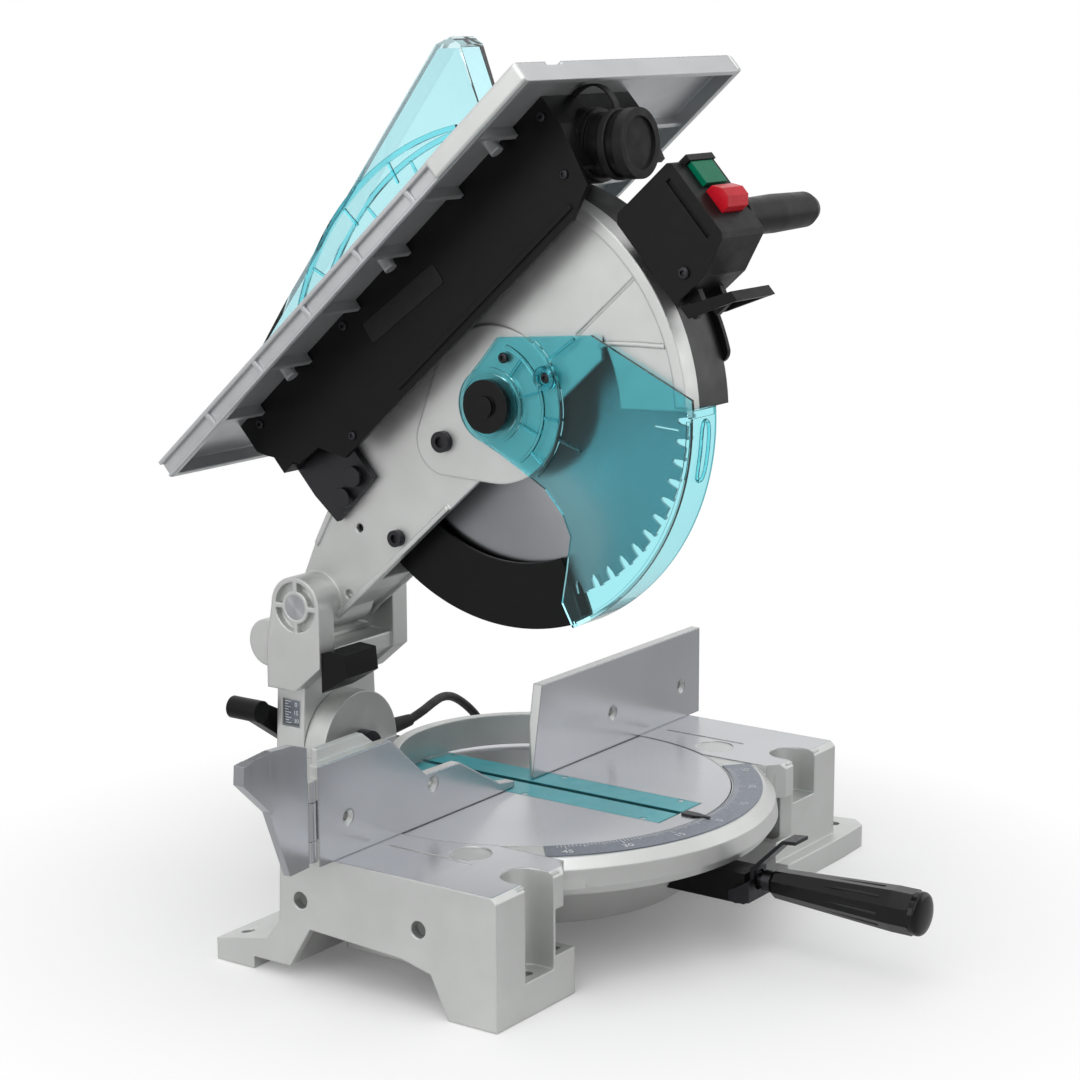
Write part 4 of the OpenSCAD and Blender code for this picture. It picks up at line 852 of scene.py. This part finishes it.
def add_bevel_marks(materials):
    """The bevel scale in the window of the arm: a dark drum with white marks."""

    def at(proud, y, z):
        """A place on the curve of the drum's face, that far in front of the window."""
        x = -proud - DRUM_BULGE * (1 - (z / DRUM_HIGH) ** 2)
        return (Vector(DRUM_AT) + Vector((x, y, z))) * MM

    bm = bmesh.new()
    rows = []
    for i in range(-6, 7):
        z = i / 6 * DRUM_HIGH
        front = [at(DRUM_THICK, y, z) for y in (-DRUM_WIDE, DRUM_WIDE)]
        back = [(Vector(DRUM_AT) + Vector((0, y, z))) * MM for y in (DRUM_WIDE, -DRUM_WIDE)]
        rows.append([bm.verts.new(corner) for corner in front + back])
    skin(bm, rows)
    drum = add_solid("bevel_scale_drum", bm, materials["scale"], "bevel_arm")
    bm = bmesh.new()
    for i in range(-4, 5):
        wide = DRUM_LONG if i % 2 == 0 else DRUM_SHORT
        place = Matrix.Translation(at(DRUM_PRINT, DRUM_MARK_END - wide / 2, i * DRUM_STEP))
        add_bar(bm, (0.0002, wide * MM, MARK_WIDE), place)
    turn = Matrix(((0, 0, -1), (-1, 0, 0), (0, 1, 0))).to_4x4()
    for number, i in DRUM_NUMBERS:
        place = Matrix.Translation(at(DRUM_PRINT, DRUM_NUMBER_Y, i * DRUM_STEP))
        add_number(bm, number, DRUM_NUMBER_HIGH * MM, place @ turn)
    marks = add_mesh("bevel_scale_marks", bm, materials["white"], "bevel_arm")


def add_guard_details(materials):
    """Ribs, a screw post, screws and the rim of a finger slot on the lower guard."""
    bm = bmesh.new()
    for inner, outer, degree in GUARD_RIBS:
        size = (RIB_PROUD, outer - inner + RIB_OVERLAP, RIB_WIDE)
        add_spoke(bm, size, GUARD_X - RIB_PROUD / 2, (inner + outer) / 2, degree)
    lathe(bm, GUARD_POST, facing(round_blade(*GUARD_POST_AT, GUARD_X), LEFT))
    ribs = add_solid("guard_ribs", bm, materials["clear_teal"], "lower_guard")
    heads = ((*GUARD_POST_AT, GUARD_X - 1.2), (*GUARD_SCREW_AT, GUARD_X))
    places = [facing(round_blade(*head), LEFT) for head in heads]
    screws = add_screws("guard_screws", places, 4, materials["dark_steel"], "lower_guard")
    loop = []
    for i in range(SLOT_POINTS):
        angle = math.tau * i / SLOT_POINTS
        along = SLOT_LONG * bulge(math.cos(angle), 0.45)
        aside = SLOT_HALF * bulge(math.sin(angle), 0.8)
        loop.append(round_blade(GUARD_R + 0.8, SLOT_DEGREE + along, SLOT_X + aside))
    teal = materials["clear_teal"]
    rim = add_wire("guard_finger_slot", loop, 1.5 * MM, teal, "lower_guard", cyclic=True)


def add_upper_guard_details(materials):
    """The curved rib on each side of the upper guard, and the short ribs under it."""
    bm = bmesh.new()
    for side in (-1, 1):
        rows = []
        for degree in UPPER_SPAN:
            corners = [round_blade(radius, degree, side * x) for radius, x in UPPER_RIB]
            rows.append([bm.verts.new(corner) for corner in corners])
        skin(bm, rows)
        for degree in SHORT_RIBS:
            add_spoke(bm, SHORT_SIZE, side * SHORT_X, SHORT_R, degree)
    ribs = add_solid("upper_guard_ribs", bm, materials["clear_teal"], "upper_guard")


def add_head_screws(materials):
    """Screws of the switch box and of the cover under the saw table."""
    steel = materials["dark_steel"]
    places = [facing(on_head(*BOX_SCREW), LEFT)]
    screws = add_screws("switch_box_screws", places, 4.4, steel, "head")
    places = [facing(on_head(COVER_X, y, z), LEFT) for y, z in COVER_SCREWS]
    screws = add_screws("cover_screws", places, 3.4, steel, "saw_table")


def add_case_ridge(materials):
    """A low ridge on the case's left face."""
    line = spread([on_head(RIDGE_X, y, z) for y, z in RIDGE])
    half = Vector((1.4 * MM, 0, 0))
    ridge = add_band("case_ridge", line, half, 4 * MM, materials["casting"], "head")


def add_cover_plate(materials):
    """A bare plate with round corners on the cover."""
    bm = bmesh.new()
    centre = Matrix.Translation(Vector((COVER_X, *PLATE_AT)) * MM)
    turn = HEAD @ centre @ Matrix.Rotation(PLATE_TILT, 4, "X")
    wide, high = PLATE_HALF
    corners = ((wide, high), (-wide, high), (-wide, -high), (wide, -high))
    outline = []
    for quarter, (y, z) in enumerate(corners):
        for i in range(5):
            angle = math.radians(90 * quarter + 22.5 * i)
            out, up = PLATE_CORNER * math.cos(angle), PLATE_CORNER * math.sin(angle)
            outline.append((y + out, z + up))
    sheets = []
    for x, share in PLATE_LAYERS:
        points = [Vector((x, y * share, z * share)) * MM for y, z in outline]
        sheets.append([bm.verts.new(turn @ point) for point in points])
    skin(bm, sheets)
    plate = add_solid("cover_bare_plate", bm, materials["rubber"], "saw_table")


def add_nozzle_trim(materials):
    """The dust nozzle's clip, and the strap that holds its cap."""
    centre = Matrix.Translation(Vector(NOZZLE_AT) * MM)
    bm = bmesh.new()
    lathe(bm, CLIP, HEAD @ centre @ Matrix.Rotation(NOZZLE_TILT, 4, "X"), 64, ends=False)
    bmesh.ops.remove_doubles(bm, verts=bm.verts, dist=1e-7)
    clip = add_solid("nozzle_clip", bm, materials["rubber"], "saw_table")
    line = spread([on_head(NOZZLE_AT[0], y, z) for y, z in STRAP], 0.0015)
    half = Vector((3.5 * MM, 0, 0))
    strap = add_band("nozzle_strap", line, half, 1.6 * MM, materials["rubber"], "saw_table")


def add_grip_end(materials):
    """The domed end of the grip."""
    bm = bmesh.new()
    lathe(bm, GRIP_DOME, facing(Vector(GRIP_END) * MM, (0, -1, 0)), 48)
    end = add_solid("grip_end", bm, materials["gloss_black"], "grip")
    for face in end.data.polygons:
        face.use_smooth = True


def add_wing_ridges(materials):
    """A low ridge on top of each wing, from the fence towards the front."""
    bm = bmesh.new()
    for x in WING_RIDGES:
        add_block(bm, WING_RIDGE_SIZE, (x, *WING_RIDGE_AT), Matrix.Identity(4))
    ridges = add_mesh("wing_ridges", bm, materials["casting"], "base")
    round_edges(ridges, 0.4 * MM, 2)


def add_table_trim(materials):
    """Lips, webs and corner blocks along the saw table's long sides."""
    lips, blocks = bmesh.new(), bmesh.new()
    middle = TABLE_END + TABLE_LONG / 2
    for side, x in zip((-1, 1), TABLE_SIDES):
        for proud, high, z in LIPS:
            at = (x + side * (proud / 2 - 0.1), middle, z)
            add_block(lips, (proud, TABLE_LONG, high), at, HEAD)
        for i in range(1, WEB_SPACES):
            y = TABLE_END + TABLE_LONG * i / WEB_SPACES
            ends = []
            for half in (-WEB_HALF, WEB_HALF):
                corners = [on_head(x + side * out, y + half, z) for out, z in WEB]
                ends.append([lips.verts.new(corner) for corner in corners])
            skin(lips, ends)
        out, along, z = BLOCK_AT
        add_block(blocks, BLOCK_SIZE, (x + side * out, TABLE_END + along, z), HEAD)
    for name, bm, finish, width in (
        ("table_edge_ribs", lips, "table", 0.5), ("table_corner_blocks", blocks, "casting", 2.2),
    ):
        piece = add_solid(name, bm, materials[finish], "saw_table")
        round_edges(piece, width * MM)


# Studio


def add_camera():
    camera = bpy.data.cameras.new("photo_camera")
    camera.lens = CAMERA_LENS
    camera.sensor_width = 36
    camera.shift_x, camera.shift_y = CAMERA_SHIFT
    camera.clip_end = 20
    holder = bpy.data.objects.new("photo_camera", camera)
    bpy.context.scene.collection.objects.link(holder)
    look = (Vector(CAMERA_TARGET) - Vector(CAMERA_AT)).to_track_quat("-Z", "Y").to_matrix().to_4x4()
    roll = Matrix.Rotation(CAMERA_ROLL, 4, "Z")
    holder.matrix_world = Matrix.Translation(CAMERA_AT) @ look @ roll
    bpy.context.scene.camera = holder


def seen_rays(tree):
    """1 for rays that show the background as such: camera, glossy and transmission rays."""
    path = tree.nodes.new("ShaderNodeLightPath").outputs
    shown = reckon(tree, "MAXIMUM", path["Is Camera Ray"], path["Is Glossy Ray"])
    return reckon(tree, "MAXIMUM", shown, path["Is Transmission Ray"])


def mirror_rays(tree):
    """1 for rays that a shiny surface threw back, 0 for those that only passed clear plastic."""
    path = tree.nodes.new("ShaderNodeLightPath").outputs
    return reckon(tree, "MINIMUM", path["Glossy Depth"], 1)


def add_world():
    """White all round; what shines sees it fall off to pale grey towards the front left."""
    world = bpy.data.worlds.new("studio")
    world.use_nodes = True
    bpy.context.scene.world = world
    tree = world.node_tree
    level = tree.nodes.new("ShaderNodeMapRange")
    level.inputs["To Min"].default_value = WORLD_LIGHT
    level.inputs["To Max"].default_value = WORLD_SEEN
    tree.links.new(seen_rays(tree), level.inputs["Value"])
    side = tree.nodes.new("ShaderNodeVectorMath")
    side.operation = "DOT_PRODUCT"
    side.inputs[1].default_value = FALL_ALONG
    tree.links.new(tree.nodes.new("ShaderNodeTexCoord").outputs["Generated"], side.inputs[0])
    fall = tree.nodes.new("ShaderNodeMapRange")
    fall.inputs["From Min"].default_value, fall.inputs["From Max"].default_value = FALL_FROM
    fall.inputs["To Min"].default_value = FALL_LOW
    fall.inputs["To Max"].default_value = 1.0
    tree.links.new(side.outputs["Value"], fall.inputs["Value"])
    shine = tree.nodes.new("ShaderNodeMix")
    shine.inputs[2].default_value = 1.0
    tree.links.new(mirror_rays(tree), shine.inputs["Factor"])
    tree.links.new(fall.outputs["Result"], shine.inputs[3])
    strength = reckon(tree, "MULTIPLY", level.outputs["Result"], shine.outputs[0])
    background = tree.nodes["Background"]
    background.inputs["Color"].default_value = (1, 1, 1, 1)
    tree.links.new(strength, background.inputs["Strength"])


def add_floor():
    """Pale floor that keeps the shadow near the saw and turns to plain white further out."""
    bm = bmesh.new()
    bmesh.ops.create_circle(bm, cap_ends=True, segments=96, radius=FLOOR_R)
    floor = bpy.data.objects.new("floor", make_mesh("floor", bm))
    floor.location.z = FLOOR_Z
    bpy.context.scene.collection.objects.link(floor)
    m = Shader("floor_paper")
    m.set(Base_Color=(0.93, 0.93, 0.93, 1), Roughness=0.75, Specular_IOR_Level=0.15)
    m.bump(m.noise(900, 2), 0.00005, 0.2)
    far = m.node("VectorMath", operation="LENGTH")
    m.link(m.coords(), far.inputs[0])
    fade = m.times(m.ramp(far.outputs["Value"], FLOOR_WHITE, 1, *FLOOR_FADE), seen_rays(m.tree))
    white = m.node("Emission")
    m.link(m.ramp(mirror_rays(m.tree), 1, FLOOR_SHINE, 0, 1), white.inputs["Strength"])
    mix = m.node("MixShader")
    m.link(fade, mix.inputs["Fac"])
    m.link(m.base.outputs["BSDF"], mix.inputs[1])
    m.link(white.outputs["Emission"], mix.inputs[2])
    m.link(mix.outputs["Shader"], m.tree.nodes["Material Output"].inputs["Surface"])
    paint(floor, m.material)


def add_lamp(name, at, size, power):
    lamp = bpy.data.lights.new(name, "AREA")
    lamp.shape = "RECTANGLE"
    lamp.size, lamp.size_y = size
    lamp.energy = power
    holder = bpy.data.objects.new(name, lamp)
    holder.location = at
    holder.rotation_euler = (Vector(LAMP_AIM) - Vector(at)).to_track_quat("-Z", "Y").to_euler()
    bpy.context.scene.collection.objects.link(holder)


def add_studio():
    add_world()
    add_floor()
    for lamp in LAMPS:
        add_lamp(*lamp)
    bpy.context.scene.view_settings.view_transform = "Standard"


def main():
    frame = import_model()
    add_camera()
    materials = make_materials()
    for finish, names in FINISHES.items():
        for name in names.split():
            paint(frame["nodes"][name], materials[finish])
    for name, width in ROUNDED.items():
        round_edges(frame["nodes"][name], width * MM)
    add_cord(frame, materials)
    add_spring(materials)
    add_mitre_marks(materials)
    add_bevel_marks(materials)
    add_guard_details(materials)
    add_upper_guard_details(materials)
    add_head_screws(materials)
    add_case_ridge(materials)
    add_cover_plate(materials)
    add_nozzle_trim(materials)
    add_grip_end(materials)
    add_wing_ridges(materials)
    add_table_trim(materials)
    add_studio()


main()
